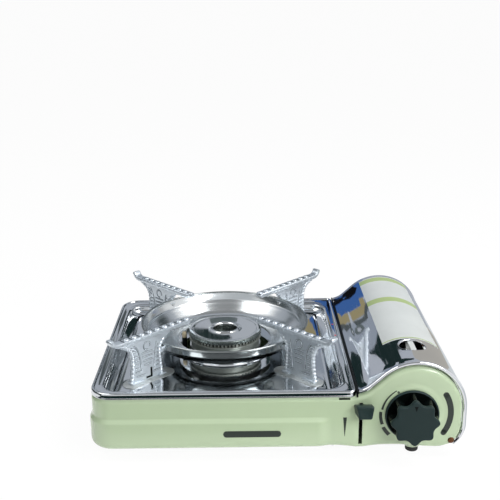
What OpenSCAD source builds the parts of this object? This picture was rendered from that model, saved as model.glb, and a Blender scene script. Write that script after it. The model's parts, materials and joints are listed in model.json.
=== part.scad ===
// Portable butane cassette stove.
// Origin: centre of the footprint, on the surface that the feet stand on.
// +X is the canister side, -Y is the front with the knob, +Z is up. Millimetres.

/* [Overall] */
// Overall width, lower band to lid
overall_w = 345; // [335:1:365]
// Overall depth, knob face to rear band
overall_d = 270; // [262:1:290]
// Underside of the body above the table
base_z = 11; // [9:0.5:14]
// Body height, underside to top of the tray rim
body_h = 56.4; // [54:0.2:62]
// Sheet thickness of the painted body
shell_t = 1; // [0.8:0.1:1.4]

/* [Body shell] */
// How far the lower band stands proud
ledge_out = 2.5; // [1.5:0.25:3.5]
// Height of the lower band above the underside
ledge_h = 26.7; // [24:0.1:29]
// Height of the slope above the lower band
ledge_rise = 4.9; // [3:0.1:6]
// Vertical corner radius at the left
corner_r = 20; // [17:0.5:24]
// Radius of the bottom edge
bottom_roll = 7; // [5:0.5:9]
// Width of the inward flange at the bottom
flange_w = 12; // [10:0.5:14]
// Length of flat front wall left of the partition
flat_w = 36; // [30:1:42]
// Length over which the lower band runs out into the flat wall
band_run = 14; // [10:1:18]
// How far the wall tucks in below the tray rim
tuck = 1.8; // [1.6:0.1:2.2]
// Radius of the raised disc behind the knob
dish_r = 31; // [29:0.5:33]
// Height of the raised disc behind the knob
dish_out = 1.2; // [0.8:0.1:1.6]

/* [Tray] */
// Sheet thickness of the tray
tray_t = 0.8; // [0.6:0.1:1]
// Depth of the folded rim
rim_drop = 5.9; // [5:0.1:7]
// Border between rim and basin at the left and right
border_side = 8.5; // [7:0.5:10]
// Border between rim and basin at the front
border_front = 7; // [6:0.5:9]
// Border between rim and basin at the rear
border_rear = 15; // [12:0.5:18]
// Corner radius of the rim beside the partition
rim_r = 6; // [5.5:0.5:9]
// Corner radius of the basin
basin_r = 18; // [17.5:0.5:22]
// Depth from rim to the gutter
gutter_drop = 11; // [10.6:0.1:12]
// Depth from rim to the basin floor
floor_drop = 9; // [8:0.1:9.5]
// Hole around the burner
tray_hole_r = 46; // [45:0.5:47]
// Height of the leg pads above the floor
pad_h = 0.8; // [0.5:0.1:1.2]
// Half width of a leg pad
pad_r = 9; // [8:0.5:10]
// Height of the collar around the burner hole
collar_h = 2; // [1.5:0.1:2.4]

/* [Canister bay] */
// Width of the bay, tray to the right side
bay_w = 100.5; // [98:0.5:103]
// Radius of the gas canister
can_r = 33.5; // [33:0.1:34]
// Thickness of the partition
partition_t = 1.4; // [1:0.1:1.6]
// Running gap round the canister and under its cradle
can_gap = 0.75; // [0.5:0.05:0.9]
// Sheet thickness of the cradle
cradle_t = 1; // [0.8:0.1:1.2]
// Canister socket behind the front face
socket_dy = 51.5; // [50:0.5:53]
// Length of the bay from socket to pusher plate
bay_l = 186; // [183:0.5:188]
// Height of the pusher plate above the canister axis
pusher_h = 14; // [10:1:18]
// Travel of the cradle
cradle_travel = 8; // [6:0.5:9]

/* [Lid] */
// Outer radius of the lid crown
lid_r = 46; // [45.5:0.5:48]
// Sheet thickness of the lid
lid_t = 1; // [0.8:0.1:1.2]
// Slope of the straight flank, degrees
lid_slope = 42; // [38:1:45]
// Radius of the hollow beside the partition
lid_hollow_r = 22; // [20:0.5:24]
// Outer radius of the lower turn
lid_low_r = 26.5; // [25.5:0.5:27.5]
// Height of the centre of the lower turn above the underside
lid_low_h = 22; // [21:0.5:24]
// Width of the rolled end bead
bead_w = 3; // [2.5:0.25:3.5]
// Radius of the round window
window_r = 12.5; // [10:0.5:14]
// Distance of the window from the front face
window_dy = 42; // [40:1:46]
// How far the hem along the partition reaches below the tray rim
hem_h = 4.4; // [3.5:0.1:5]
// Gap between lid and end wall outline
end_inset = 4.5; // [4:0.1:5]

/* [Hinge] */
// Radius of the hinge pins
pin_r = 1.5; // [1.3:0.1:1.7]
// Outer radius of the lid knuckles
knuckle_r = 3.2; // [2.9:0.1:3.4]
// Length of a knuckle
knuckle_l = 18; // [14:1:26]
// Radial running fit of pins and shafts
fit = 0.06; // [0.03:0.01:0.1]

/* [Burner] */
// Radius of the burner cap
cap_r = 37.3; // [36:0.1:38.5]
// Height of the cap top above the tray rim
cap_h = 13.2; // [12:0.2:14]
// Thickness of the cap edge
cap_t = 4.1; // [3.6:0.1:4.6]
// Height of the flame ports
port_h = 4.2; // [3.6:0.1:4.8]
// Number of flame ports
port_count = 60; // [48:2:64]
// Width of a flame port
port_w = 1.9; // [1.5:0.1:2.1]
// Radius of the raised ring in the cap
eye_r = 15; // [14:0.25:16]
// Radius of the hole in the cap
eye_hole_r = 12; // [11:0.25:12.5]
// Radius of the inlet chamber of the burner
chamber_r = 22; // [20:0.5:24]

/* [Valve and gas path] */
// Radius of the valve body
valve_r = 15; // [14:0.5:15.5]
// Radius of the nose around the canister socket
nose_r = 10; // [9:0.25:11]
// Radius of the bore for the canister stem
socket_r = 5; // [4.8:0.1:5.3]
// Depth of the bore for the canister stem
socket_deep = 9; // [8:0.5:10]
// Radius of the regulator cap
regulator_r = 16; // [13:0.5:17]
// Width of the valve bracket
bracket_w = 50; // [48:1:54]
// Depth of the foot of the valve bracket
bracket_foot = 16; // [14:0.5:18]
// Nozzle left of the knob axis
nozzle_dx = 18; // [17:0.5:20]
// Nozzle behind the front face
nozzle_dy = 24.5; // [23:0.5:27]
// Axis of the mixing tube above the underside
tube_h = 13; // [12.5:0.5:14]
// Outer radius of the mixing tube
tube_r = 8; // [7:0.25:8.5]
// Wall of the mixing tube
tube_wall = 1; // [0.8:0.1:1.5]
// Width of the heat strip between burner and canister
strip_w = 14; // [10:1:18]
// Thickness of the heat strip
strip_t = 1.2; // [0.8:0.1:1.5]
// Height of the heat strip above the underside
strip_h = 39; // [37:0.5:41]

/* [Wind bowl and legs] */
// Rim radius of the wind bowl
bowl_r = 85.2; // [83:0.2:86]
// Height of the bowl rim above the tray rim
bowl_h = 23.4; // [22:0.2:24.4]
// Depth of the bowl
bowl_deep = 22; // [21:0.2:24]
// Radius of the hole in the bowl
bowl_hole_r = 47; // [46:0.25:48]
// Sheet thickness of the bowl
bowl_t = 0.9; // [0.7:0.1:1.1]
// Height of the pan rests above the tray rim
rest_h = 38; // [37:0.2:40]
// Inner end of the pan rests, from the burner centre
rest_in = 49; // [46:0.5:55]
// Overhang of the pan rests past the legs
rest_over = 25.5; // [22:0.5:28]
// Width of a pan rest
rest_w = 9; // [8:0.25:10]
// Thickness of a pan rest
rest_t = 4.8; // [4:0.2:5.4]
// Pitch of the beads on a pan rest
bead_pitch = 10.3; // [8:0.1:12]
// Gap between the bowl rim and the legs
leg_gap = 1.8; // [1.4:0.1:2.6]
// Width of a leg
leg_w = 33.5; // [31:0.5:35]
// Height of the arch under a leg
arch_h = 3.2; // [2:0.2:4]
// Thickness of a leg web
web_t = 3.4; // [3:0.1:4]
// Height of the curled tip above the pan rest
tip_h = 4.6; // [4:0.1:5]

/* [Knob and lever] */
// Radius of the knob skirt
skirt_r = 24.5; // [23.5:0.25:25.5]
// Tip radius of the grip lobes
grip_r = 21.9; // [21:0.1:22.5]
// Number of grip lobes
lobes = 8; // [6:1:10]
// Reach of the knob in front of the end wall
knob_reach = 20.5; // [18:0.5:24]
// Thickness of the knob skirt
skirt_t = 2.6; // [2:0.1:3]
// Knob axis left of the canister axis
knob_dx = 4.3; // [3:0.1:5]
// Knob axis above the underside
knob_dz = 33.5; // [32:0.5:35]
// Radius of the knob spindle
spindle_r = 4; // [3.5:0.1:4.5]
// Rise of the igniter cam over the knob travel
cam_rise = 3; // [2:0.25:3.5]
// Knob travel in degrees
knob_turn = 150; // [120:5:160]
// Length of the igniter
piezo_l = 17; // [15:0.5:18]
// Height of the igniter
piezo_h = 13; // [11:0.5:14]
// Lever pin above the underside
lever_h = 39.5; // [38.5:0.5:40.5]
// Lever pin behind the front face
lever_dy = 15; // [14:0.5:16]
// Travel of the lever
lever_travel = 25; // [22:0.5:26]
// Button centre right of the lever slot
button_dx = 3; // [2:0.25:3.5]
// Width of the lever button
button_w = 16; // [14:0.5:17]
// Height of the lever button
button_h = 13; // [11:0.5:14]
// Reach of the lever button in front of the end wall
button_reach = 11; // [9:0.5:13]
// Lever slot right of the tray
slot_dx = 4.2; // [4:0.1:5]
// Lower end of the lever slot above the underside
slot_low = 3.6; // [3:0.1:5]
// Thickness of the lever arm
arm_t = 2.4; // [2:0.1:2.6]
// Height of the lever arm
arm_h = 8; // [7:0.5:9]

/* [Feet] */
// Distance of the left feet from the left side
foot_x = 36; // [30:1:45]
// Distance of the front left foot from the front face
foot_front = 40; // [34:1:46]
// Distance of the rear feet from the rear face
foot_rear = 32; // [26:1:38]
// Distance of the front right foot from the front face
foot_y = 15.5; // [15:0.5:20]
// Radius of a rubber foot
foot_r = 6; // [5.5:0.25:7]
// Height of a foot boss below the body
boss_h = 5; // [4:0.25:6]
// Top radius of a foot boss
boss_r = 12; // [11.5:0.5:13]

/* [Hidden] */
$fn = 96;
eps = 0.01;
clear = 0.3;

// Body planes
left_x = -overall_w / 2 + ledge_out;
right_x = overall_w / 2;
face_y = -overall_d / 2 + knob_reach;
rear_y = overall_d / 2 - ledge_out;
rim_z = base_z + body_h;
seat_z = rim_z - tray_t;
skirt_z = rim_z - rim_drop;
shoulder_z = skirt_z - 4.5;
ledge_z = base_z + ledge_h;
plate_z = base_z + shell_t;
floor_z = plate_z + shell_t;

// Tray and partition
tray_x1 = right_x - bay_w;
part_x0 = tray_x1 + 0.2;
part_x1 = part_x0 + partition_t;
basin_z = rim_z - floor_drop;
gutter_z = rim_z - gutter_drop;
gutter_w = basin_r - 1.5;
pad_z = basin_z + pad_h;
bx = (left_x + tray_x1) / 2;
by = (face_y + rear_y) / 2;

// Canister, lid and hinge
can_x = right_x - lid_r;
can_z = floor_z + can_gap + cradle_t + can_gap + can_r;
low_x = right_x - lid_low_r;
low_z = base_z + lid_low_h;
hinge_d = lid_low_r - 6;
hinge_x = low_x + hinge_d * cos(-50);
hinge_z = low_z + hinge_d * sin(-50);
bead_low = hinge_z + 2;
ear_r = pin_r + 2;
lid_x0 = part_x1 + 0.6;
hem_z = rim_z - hem_h;
window_x = can_x + 2;
window_y = face_y + window_dy;
socket_y = face_y + socket_dy;
pusher_y = socket_y + bay_l;

// Knob, lever and igniter
knob_x = can_x - knob_dx;
knob_z = base_z + knob_dz;
slot_x = tray_x1 + slot_dx;
slot_w = arm_t + 1;
lever_z = base_z + lever_h;
pin_y = face_y + lever_dy;
cam_r = 9;
cam_t = 4;
cam_y = face_y + shell_t + 1.5;
plunger_r = 2.5;

// Burner, tube and nozzle
cap_z = rim_z + cap_h;
port_z1 = cap_z - cap_t;
port_z0 = port_z1 - port_h;
burner_r = cap_r - 2.3;
tube_z = base_z + tube_h;
nozzle_x = knob_x - nozzle_dx;
nozzle_y = face_y + nozzle_dy;
tube_turn = atan2(by - nozzle_y, bx - nozzle_x);
tube_run = norm([bx - nozzle_x, by - nozzle_y]);
electrode_x = bx - cap_r - 4.6;

// Wind bowl and legs
bowl_z = rim_z + bowl_h;
bowl_floor_z = bowl_z - bowl_deep;
rest_z = rim_z + rest_h;
leg_z = pad_z;
leg_in = bowl_r + leg_gap;
leg_out = leg_in + leg_w;
rest_out = leg_out + rest_over;

function arc(cx, cy, r, a0, a1, n) =
    [for (i = [0 : n]) [cx + r * cos(a0 + (a1 - a0) * i / n), cy + r * sin(a0 + (a1 - a0) * i / n)]];

// ---- helpers ----

// Stands a 2D (x, z) outline up and gives it length from y0 to y1
module along_y(y0, y1) {
    translate([0, y1, 0]) rotate([90, 0, 0]) linear_extrude(y1 - y0) children();
}

// Lays a 2D (y, z) outline across from x0 to x1
module along_x(x0, x1) {
    translate([x0, 0, 0]) rotate([90, 0, 90]) linear_extrude(x1 - x0) children();
}

// A (u, z) wall profile as a straight run, u pointing outward at the given turn
module run(x, y, turn, len) {
    translate([x, y, 0]) rotate([90, 0, turn]) linear_extrude(len) children();
}

// A (u, z) wall profile turned through a quarter corner of radius r
module quarter(x, y, r, turn) {
    translate([x, y, 0]) rotate([0, 0, turn]) rotate_extrude(angle = 90) translate([r, 0]) children();
}

// Rectangle in 2D with corner radii rl at the left, rr at the right
module rounded(x0, y0, x1, y1, rl, rr) {
    union() {
        translate([x0 + rl, y0]) square([x1 - x0 - rl - rr, y1 - y0]);
        translate([x0, y0 + rl]) square([rl, y1 - y0 - 2 * rl]);
        translate([x1 - rr, y0 + rr]) square([rr, y1 - y0 - 2 * rr]);
        for (y = [y0 + rl, y1 - rl]) translate([x0 + rl, y]) circle(rl);
        for (y = [y0 + rr, y1 - rr]) translate([x1 - rr, y]) circle(rr);
    }
}

// A (u, z) profile carried round a rectangle with corner radii rl at the left, rr at the right
module ring_sweep(x0, y0, x1, y1, rl, rr) {
    run(x1 - rr, y0, -90, x1 - x0 - rl - rr) children();
    run(x0, y0 + rl, 180, y1 - y0 - 2 * rl) children();
    run(x0 + rl, y1, 90, x1 - x0 - rl - rr) children();
    run(x1, y1 - rr, 0, y1 - y0 - 2 * rr) children();
    quarter(x0 + rl, y0 + rl, rl, 180) children();
    quarter(x0 + rl, y1 - rl, rl, 90) children();
    quarter(x1 - rr, y1 - rr, rr, 0) children();
    quarter(x1 - rr, y0 + rr, rr, 270) children();
}

// ---- lid and end wall outline ----

// Area under the lid outline, moved inward by k, in (x, z)
module lid_area(k) {
    hollow = lid_hollow_r + k;
    crown = lid_r - k;
    top = rim_z - k;
    hx = can_x + (cos(lid_slope) * (rim_z + lid_hollow_r - can_z) - (lid_r + lid_hollow_r)) / sin(lid_slope);
    hz = rim_z + lid_hollow_r;
    union() {
        translate([can_x, can_z]) circle(crown);
        translate([can_x, low_z]) square([crown, can_z - low_z]);
        translate([low_x, low_z]) circle(lid_low_r - k);
        translate([tray_x1, base_z]) square([low_x - tray_x1, top - base_z]);
        translate([low_x - eps, low_z]) square([lid_low_r - k, can_z - low_z]);
        difference() {
            polygon([[hx, top], [hx, top + eps],
                [hx + (hollow - 2 * eps) * sin(lid_slope), hz - (hollow - 2 * eps) * cos(lid_slope)],
                [can_x - (crown - 2 * eps) * sin(lid_slope), can_z + (crown - 2 * eps) * cos(lid_slope)],
                [can_x, can_z], [can_x, top]]);
            translate([hx, hz]) circle(hollow);
        }
    }
}

// End wall: lid outline moved inward, cut square at the underside, with the hinge ear
module end_wall_area() {
    intersection() {
        union() {
            lid_area(end_inset);
            translate([hinge_x, hinge_z]) circle(ear_r);
        }
        translate([tray_x1, base_z]) square([right_x - tray_x1, 2 * body_h]);
    }
}

// ---- body ----

function wall_profile(out, roll = bottom_roll) = concat(
    [[-tuck, seat_z], [-tuck, skirt_z], [0, shoulder_z], [0, ledge_z + ledge_rise], [out, ledge_z]],
    arc(out - roll, base_z + roll, roll, 0, -90, 8),
    [[-flange_w, base_z], [-flange_w, plate_z]],
    arc(out - roll, base_z + roll, roll - shell_t, -90, 0, 8),
    [[out - shell_t, ledge_z], [-shell_t, ledge_z + ledge_rise], [-shell_t, shoulder_z],
     [-tuck - shell_t, skirt_z], [-tuck - shell_t, seat_z]]);

foot_places = [[left_x + foot_x, face_y + foot_front], [can_x, face_y + foot_y],
    [left_x + foot_x, rear_y - foot_rear], [can_x, rear_y - foot_rear]];

module boss_cone(p, r) {
    translate([p[0], p[1], base_z - boss_h]) cylinder(h = boss_h + 2 * shell_t, r1 = r * 0.65, r2 = r);
}

module end_wall(y0, flange_y0, flange_y1) {
    along_y(y0, y0 + shell_t) end_wall_area();
    difference() {
        along_y(flange_y0, flange_y1) intersection() {
            difference() {
                lid_area(end_inset);
                lid_area(end_inset + shell_t);
            }
            translate([lid_x0 + 6, low_z]) square([lid_r * 3, lid_r * 2]);
        }
        translate([hinge_x, flange_y0 - 1, hinge_z]) rotate([-90, 0, 0]) cylinder(h = 20, r = knuckle_r * 2);
    }
}

// Wedge at the front where the lower band runs out into the flat wall, standing on y = 0
module band_end(x1) {
    intersection() {
        translate([x1 + band_run, 0, 0]) rotate([0, 0, atan2(ledge_out, band_run)])
            translate([0, ledge_out, 0]) run(4, 0, -90, band_run + 10)
                polygon(wall_profile(ledge_out, bottom_roll + shell_t / 4));
        translate([x1, -ledge_out - 1, base_z])
            cube([band_run + 2, flange_w + ledge_out + 1, ledge_h + ledge_rise]);
    }
}

module body_shell() {
    x1 = tray_x1 - flat_w;
    color([0.73, 0.81, 0.67]) difference() {
        union() {
            run(x1, face_y, -90, x1 - left_x - corner_r) polygon(wall_profile(ledge_out));
            run(tray_x1, face_y, -90, flat_w) polygon(wall_profile(0));
            quarter(left_x + corner_r, face_y + corner_r, corner_r, 180) polygon(wall_profile(ledge_out));
            run(left_x, face_y + corner_r, 180, rear_y - face_y - 2 * corner_r)
                polygon(wall_profile(ledge_out));
            quarter(left_x + corner_r, rear_y - corner_r, corner_r, 90) polygon(wall_profile(ledge_out));
            run(left_x + corner_r, rear_y, 90, x1 - left_x - corner_r) polygon(wall_profile(ledge_out));
            run(x1, rear_y, 90, flat_w) polygon(wall_profile(0));
            translate([0, face_y, 0]) band_end(x1);
            translate([0, rear_y, 0]) mirror([0, 1, 0]) band_end(x1);
            end_wall(face_y, face_y, face_y + 8);
            end_wall(rear_y - shell_t, rear_y - 8, rear_y);
            translate([tray_x1, face_y, base_z]) cube([low_x - tray_x1, flange_w, shell_t]);
            translate([tray_x1, rear_y - flange_w, base_z]) cube([low_x - tray_x1, flange_w, shell_t]);
            translate([knob_x, face_y, knob_z]) rotate([90, 0, 0])
                cylinder(h = dish_out, r1 = dish_r, r2 = dish_r - 3);
        }
        // spindle hole
        translate([knob_x, face_y + 10, knob_z]) rotate([90, 0, 0]) cylinder(h = 20, r = spindle_r + 1);
        // lever slot
        translate([slot_x - slot_w / 2, face_y - 2, base_z + slot_low])
            cube([slot_w, 4, lever_h + arm_h / 2 + 1.5 - slot_low]);
        // slit for the tray tab
        translate([tray_x1 - 16, face_y - 1, skirt_z - 2.6]) cube([11, 4, 1.6]);
        // notches for the rim corners of the tray and the top edge of the partition
        for (y = [face_y - 1, rear_y - 11]) translate([tray_x1 - rim_r - 1, y, skirt_z])
            cube([part_x1 + 0.2 - tray_x1 + rim_r + 1, 12, 20]);
        for (y = [face_y + 2, rear_y - 2]) translate([hinge_x, y + 3, hinge_z]) rotate([90, 0, 0])
            cylinder(h = 6, r = pin_r);
        for (p = foot_places) boss_cone(p, boss_r + 0.6);
        for (p = screw_places) translate([p[0], p[1], base_z - 1]) cylinder(h = 3, r = screw_r);
    }
}

screw_r = 1.6;
screw_in = (bottom_roll + flange_w) / 2;
screw_places = [[left_x + 60, face_y + screw_in], [tray_x1 - 20, face_y + screw_in],
    [left_x + 60, rear_y - screw_in], [tray_x1 - 20, rear_y - screw_in],
    [left_x + screw_in, by], [can_x + 16, rear_y - screw_in]];

module bottom_plate() {
    inset = bottom_roll + 0.5;
    color([0.62, 0.64, 0.63]) difference() {
        union() {
            translate([0, 0, plate_z]) linear_extrude(shell_t) union() {
                rounded(left_x + inset, face_y + inset, left_x + 80, rear_y - inset, corner_r - inset, 1);
                translate([left_x + 40, face_y + inset])
                    square([low_x + 6 - left_x - 40, rear_y - face_y - 2 * inset]);
            }
            for (p = foot_places) boss_cone(p, boss_r);
            // low upstand along the canister side
            translate([low_x + 5, face_y + inset, plate_z]) cube([shell_t, rear_y - face_y - 2 * inset, 6]);
            // guide ribs of the cradle
            for (s = [-1, 1]) translate([can_x + s * (skid_x + skid_w / 2 + fit + 0.75) - 0.75,
                socket_y + 20, plate_z]) cube([1.5, bay_l - 30, shell_t + 2]);
        }
        // the pressed bosses are hollow above
        for (p = foot_places) translate([p[0], p[1], base_z - boss_h + shell_t])
            cylinder(h = boss_h + 2 * shell_t + eps, r1 = boss_r * 0.65 - shell_t,
                r2 = boss_r - shell_t + 0.3);
        for (p = foot_places) translate([p[0], p[1], base_z - boss_h - 1]) cylinder(h = 4, r = stem_r);
        // cooling slots under the burner
        for (i = [-3 : 3]) for (s = [-1, 1]) translate([bx + i * 12 - 2, by + s * 62 - 18, plate_z - 1])
            cube([4, 36, 3]);
        for (p = screw_places) translate([p[0], p[1], plate_z - 1]) cylinder(h = 3, r = screw_r);
        for (p = chassis_places) translate([p[0], p[1], plate_z - 1]) cylinder(h = 3, r = screw_r);
    }
}

stem_r = 2.4;
boss_z = base_z - boss_h;

module foot(p) {
    color([0.09, 0.1, 0.1]) translate([p[0], p[1], 0]) union() {
        rotate_extrude() polygon(concat([[0, 0]], arc(foot_r - 1.5, 1.5, 1.5, -90, 0, 5),
            [[foot_r, boss_z - 1], [foot_r - 0.6, boss_z], [0, boss_z]]));
        cylinder(h = boss_z + shell_t, r = stem_r);
        translate([0, 0, boss_z + shell_t]) cylinder(h = 2, r1 = stem_r + 1, r2 = stem_r * 0.6);
    }
}

module screw(p, z, up) {
    translate([p[0], p[1], z]) mirror([0, 0, up ? 0 : 1]) {
        translate([0, 0, -1.6]) cylinder(h = 1.6, r1 = 2.2, r2 = 3.2);
        cylinder(h = 2 * shell_t + 2.5, r = screw_r);
    }
}

module bottom_screws() {
    color([0.7, 0.71, 0.72]) for (p = screw_places) screw(p, base_z, true);
}

// ---- tray ----

function rim_profile() = concat(
    [[-tuck - 3, seat_z], [-tuck + 0.9, seat_z], [-tuck + 0.9, skirt_z], [-tuck + 0.9 + tray_t, skirt_z]],
    arc(-tuck + 0.9 + tray_t - 1.8, rim_z - 1.8, 1.8, 0, 90, 6), [[-tuck - 3, rim_z]]);

// From the border down the wall, through the gutter and up to the floor; u runs inward
function basin_profile() =
    let (w = gutter_w, t = tray_t, drop = gutter_drop - 3)
    let (top = concat([[1, rim_z]], arc(0, rim_z - 3, 3, 90, 180, 5),
        arc(-w * 0.45, gutter_z + w * 0.27, w * 0.27, 0, -90, 6),
        [[-w * 0.62, gutter_z], [-w * 0.88, basin_z], [-w, basin_z]]))
    concat(top, [[-w, basin_z - t], [-w * 0.88 - t * 0.2, basin_z - t], [-w * 0.62, gutter_z - t],
        [-w * 0.45, gutter_z - t]],
        arc(-w * 0.45, gutter_z + w * 0.27, w * 0.27 + t, -90, 0, 6),
        [[-3 + t, rim_z - 3 - t * 0.4], [-1.6 + t, rim_z - t - 0.6], [1, rim_z - t]]);

// Outline of the pad that a leg stands on
module pad_area() {
    x0 = leg_in - 4;
    x1 = leg_out - 1.5;
    union() {
        translate([x0, -pad_r]) square([x1 - x0, 2 * pad_r]);
        for (x = [x0, x1]) translate([x, 0]) circle(pad_r);
    }
}

module drip_tray() {
    x0 = left_x + border_side;
    x1 = tray_x1 - border_side;
    y0 = face_y + border_front;
    y1 = rear_y - border_rear;
    e = 3;
    color([0.78, 0.8, 0.81]) difference() {
        union() {
            ring_sweep(left_x, face_y, tray_x1, rear_y, corner_r, rim_r) polygon(rim_profile());
            translate([0, 0, seat_z]) linear_extrude(tray_t) difference() {
                rounded(left_x + e, face_y + e, tray_x1 - e, rear_y - e, corner_r - e, rim_r - e);
                rounded(x0, y0, x1, y1, basin_r, basin_r);
            }
            ring_sweep(x0, y0, x1, y1, basin_r, basin_r) polygon(basin_profile());
            translate([0, 0, basin_z - tray_t]) linear_extrude(tray_t)
                square_span(x0 + gutter_w, y0 + gutter_w, x1 - gutter_w, y1 - gutter_w);
            for (a = [45 : 90 : 315]) translate([bx, by, basin_z - eps]) rotate([0, 0, a])
                linear_extrude(pad_h + eps) pad_area();
            // turned-up collar around the burner
            translate([bx, by, basin_z - tray_t]) cylinder(h = tray_t + collar_h, r = tray_hole_r + tray_t);
        }
        translate([bx, by, basin_z - 5]) cylinder(h = 20, r = tray_hole_r);
    }
}

module square_span(x0, y0, x1, y1) {
    translate([x0, y0]) square([x1 - x0, y1 - y0]);
}

// ---- partition and canister bay ----

strip_y = by - 20;
strip_z = base_z + strip_h;

module partition() {
    color([0.1, 0.11, 0.11]) difference() {
        union() {
            along_x(part_x0, part_x1) polygon([[face_y + shell_t, floor_z], [face_y + shell_t, skirt_z],
                [face_y, skirt_z], [face_y, rim_z], [rear_y, rim_z], [rear_y, skirt_z],
                [rear_y - shell_t, skirt_z], [rear_y - shell_t, floor_z]]);
            translate([part_x0 - 10, face_y + flange_w, floor_z])
                cube([10 + partition_t, rear_y - face_y - 2 * flange_w, 1]);
            // guide strip of the lever
            translate([part_x0, face_y + 2, floor_z + 4])
                cube([slot_x - arm_t / 2 - fit - part_x0, 6, lever_z + 5 - floor_z - 4]);
            // ledge that the closed lid lands on
            translate([part_x0, face_y + flange_w, hem_z - 1])
                cube([lid_x0 + lid_t + 2 - part_x0, rear_y - face_y - 2 * flange_w, 1]);
        }
        // mixing tube opening
        translate([nozzle_x, nozzle_y, tube_z]) rotate([0, 90, tube_turn]) cylinder(h = 80, r = tube_r + 1.5);
        translate([part_x0 - 1, strip_y - 1, strip_z - 1]) cube([4, strip_w + 2, strip_t + 2]);
        translate([part_x0 - 1, wire_y - 2.5, wire_z1 - 2.5]) cube([4, 5, 5]);
    }
}

chassis_places = [[can_x - 22, socket_y - 15], [can_x + 18, socket_y - 15], [bx - 30, by], [bx + 30, by]];
bracket_y = socket_y - 5;
bracket_x0 = can_x - bracket_w / 2 - 2;

module valve_bracket() {
    color([0.68, 0.7, 0.71]) difference() {
        union() {
            along_y(bracket_y, bracket_y + 1.5) union() {
                translate([can_x, can_z]) circle(can_r - 1.5);
                translate([bracket_x0, floor_z]) square([bracket_w, can_z - floor_z]);
            }
            translate([bracket_x0, bracket_y - bracket_foot, floor_z])
                cube([bracket_w, bracket_foot + 1.5, 1.2]);
            // guide tongue over the canister collar, seen through the lid window
            translate([window_x - 2.5, bracket_y - bracket_foot, can_z + 18])
                cube([5, bracket_foot + 14, 1.5]);
        }
        translate([can_x, bracket_y - 1, can_z]) rotate([-90, 0, 0]) cylinder(h = 4, r = nose_r + fit);
        for (p = [0, 1]) translate([chassis_places[p][0], chassis_places[p][1], floor_z - 1])
            cylinder(h = 4, r = screw_r);
    }
}

module valve_body() {
    cy = cam_y + cam_t + 3;
    color([0.72, 0.72, 0.7]) difference() {
        union() {
            translate([(knob_x + can_x) / 2, cy, (knob_z + can_z) / 2]) rotate([-90, 0, 0])
                cylinder(h = bracket_y - cy, r = valve_r);
            translate([can_x, bracket_y - eps, can_z]) rotate([-90, 0, 0])
                cylinder(h = socket_y - bracket_y + eps, r = nose_r);
            // outlet leg down to the nozzle
            translate([nozzle_x, nozzle_y - 7, tube_z - 6]) cube([nozzle_dx - 2, 14, knob_z - tube_z]);
            // boss for the regulator cap
            translate([regulator_x - 10, (cy + bracket_y) / 2, knob_z]) rotate([0, 90, 0])
                cylinder(h = 10, r = 11);
        }
        // spindle bore
        translate([knob_x, cy - 1, knob_z]) rotate([-90, 0, 0]) cylinder(h = 13, r = spindle_r + fit);
        // canister socket and seal seat
        translate([can_x, socket_y - socket_deep, can_z]) rotate([-90, 0, 0])
            cylinder(h = socket_deep + 1, r = socket_r);
        translate([can_x, socket_y - 2, can_z]) rotate([-90, 0, 0]) cylinder(h = 3, r = seal_r);
        // nozzle thread
        translate([nozzle_x, nozzle_y, tube_z]) rotate([0, 90, tube_turn]) translate([0, 0, -5])
            cylinder(h = 8, r = nozzle_r);
    }
}

regulator_x = knob_x + valve_r + 7;
seal_r = socket_r + 2.6;
nozzle_r = 2.5;

module regulator_cap() {
    cy = cam_y + cam_t + 3;
    color([0.66, 0.67, 0.66]) translate([regulator_x, (cy + bracket_y) / 2, knob_z])
        rotate([0, 90, 0]) union() {
        cylinder(h = 3, r = regulator_r);
        translate([0, 0, 3]) cylinder(h = 5, r1 = regulator_r - 3, r2 = regulator_r - 6);
    }
}

module socket_seal() {
    color([0.1, 0.1, 0.1]) translate([can_x, socket_y - 2, can_z]) rotate([-90, 0, 0]) rotate_extrude()
        polygon(concat([[socket_r + clear, 0], [seal_r, 0], [seal_r, 1.4]],
            arc((socket_r + clear + seal_r) / 2, 1.4, (seal_r - socket_r - clear) / 2, 0, 180, 8)));
}

module chassis_screws() {
    color([0.7, 0.71, 0.72]) for (p = chassis_places) translate([p[0], p[1], 0]) {
        translate([0, 0, plate_z - 0.8]) cylinder(h = floor_z + 1.2 - plate_z + 0.8, r = screw_r);
        translate([0, 0, floor_z + 1.2]) cylinder(h = 1.8, r1 = 3, r2 = 2.2);
    }
}

// ---- gas path ----

// Places a shape with its +Z along the tube axis, starting d past the nozzle seat
module on_tube(d) {
    translate([nozzle_x, nozzle_y, tube_z]) rotate([0, 90, tube_turn]) translate([0, 0, d]) children();
}

nozzle_tip = 8;

module nozzle() {
    color([0.78, 0.64, 0.35]) difference() {
        union() {
            on_tube(-4) cylinder(h = 7, r = nozzle_r);
            on_tube(3) cylinder(h = 2, r = 4, $fn = 6);
            on_tube(5) cylinder(h = nozzle_tip - 5, r1 = 2.4, r2 = 1.2);
        }
        on_tube(-5) cylinder(h = 20, r = 0.6);
    }
}

shutter_d = 7;

module air_shutter() {
    color([0.75, 0.76, 0.77]) difference() {
        on_tube(shutter_d) cylinder(h = 9, r = tube_r + 0.8);
        on_tube(shutter_d - 1) cylinder(h = 11, r = tube_r + fit);
        on_tube(shutter_d + 2.5) translate([-3, -20, 0]) cube([6, 40, 4]);
    }
}

tube_d = shutter_d + 1;

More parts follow.
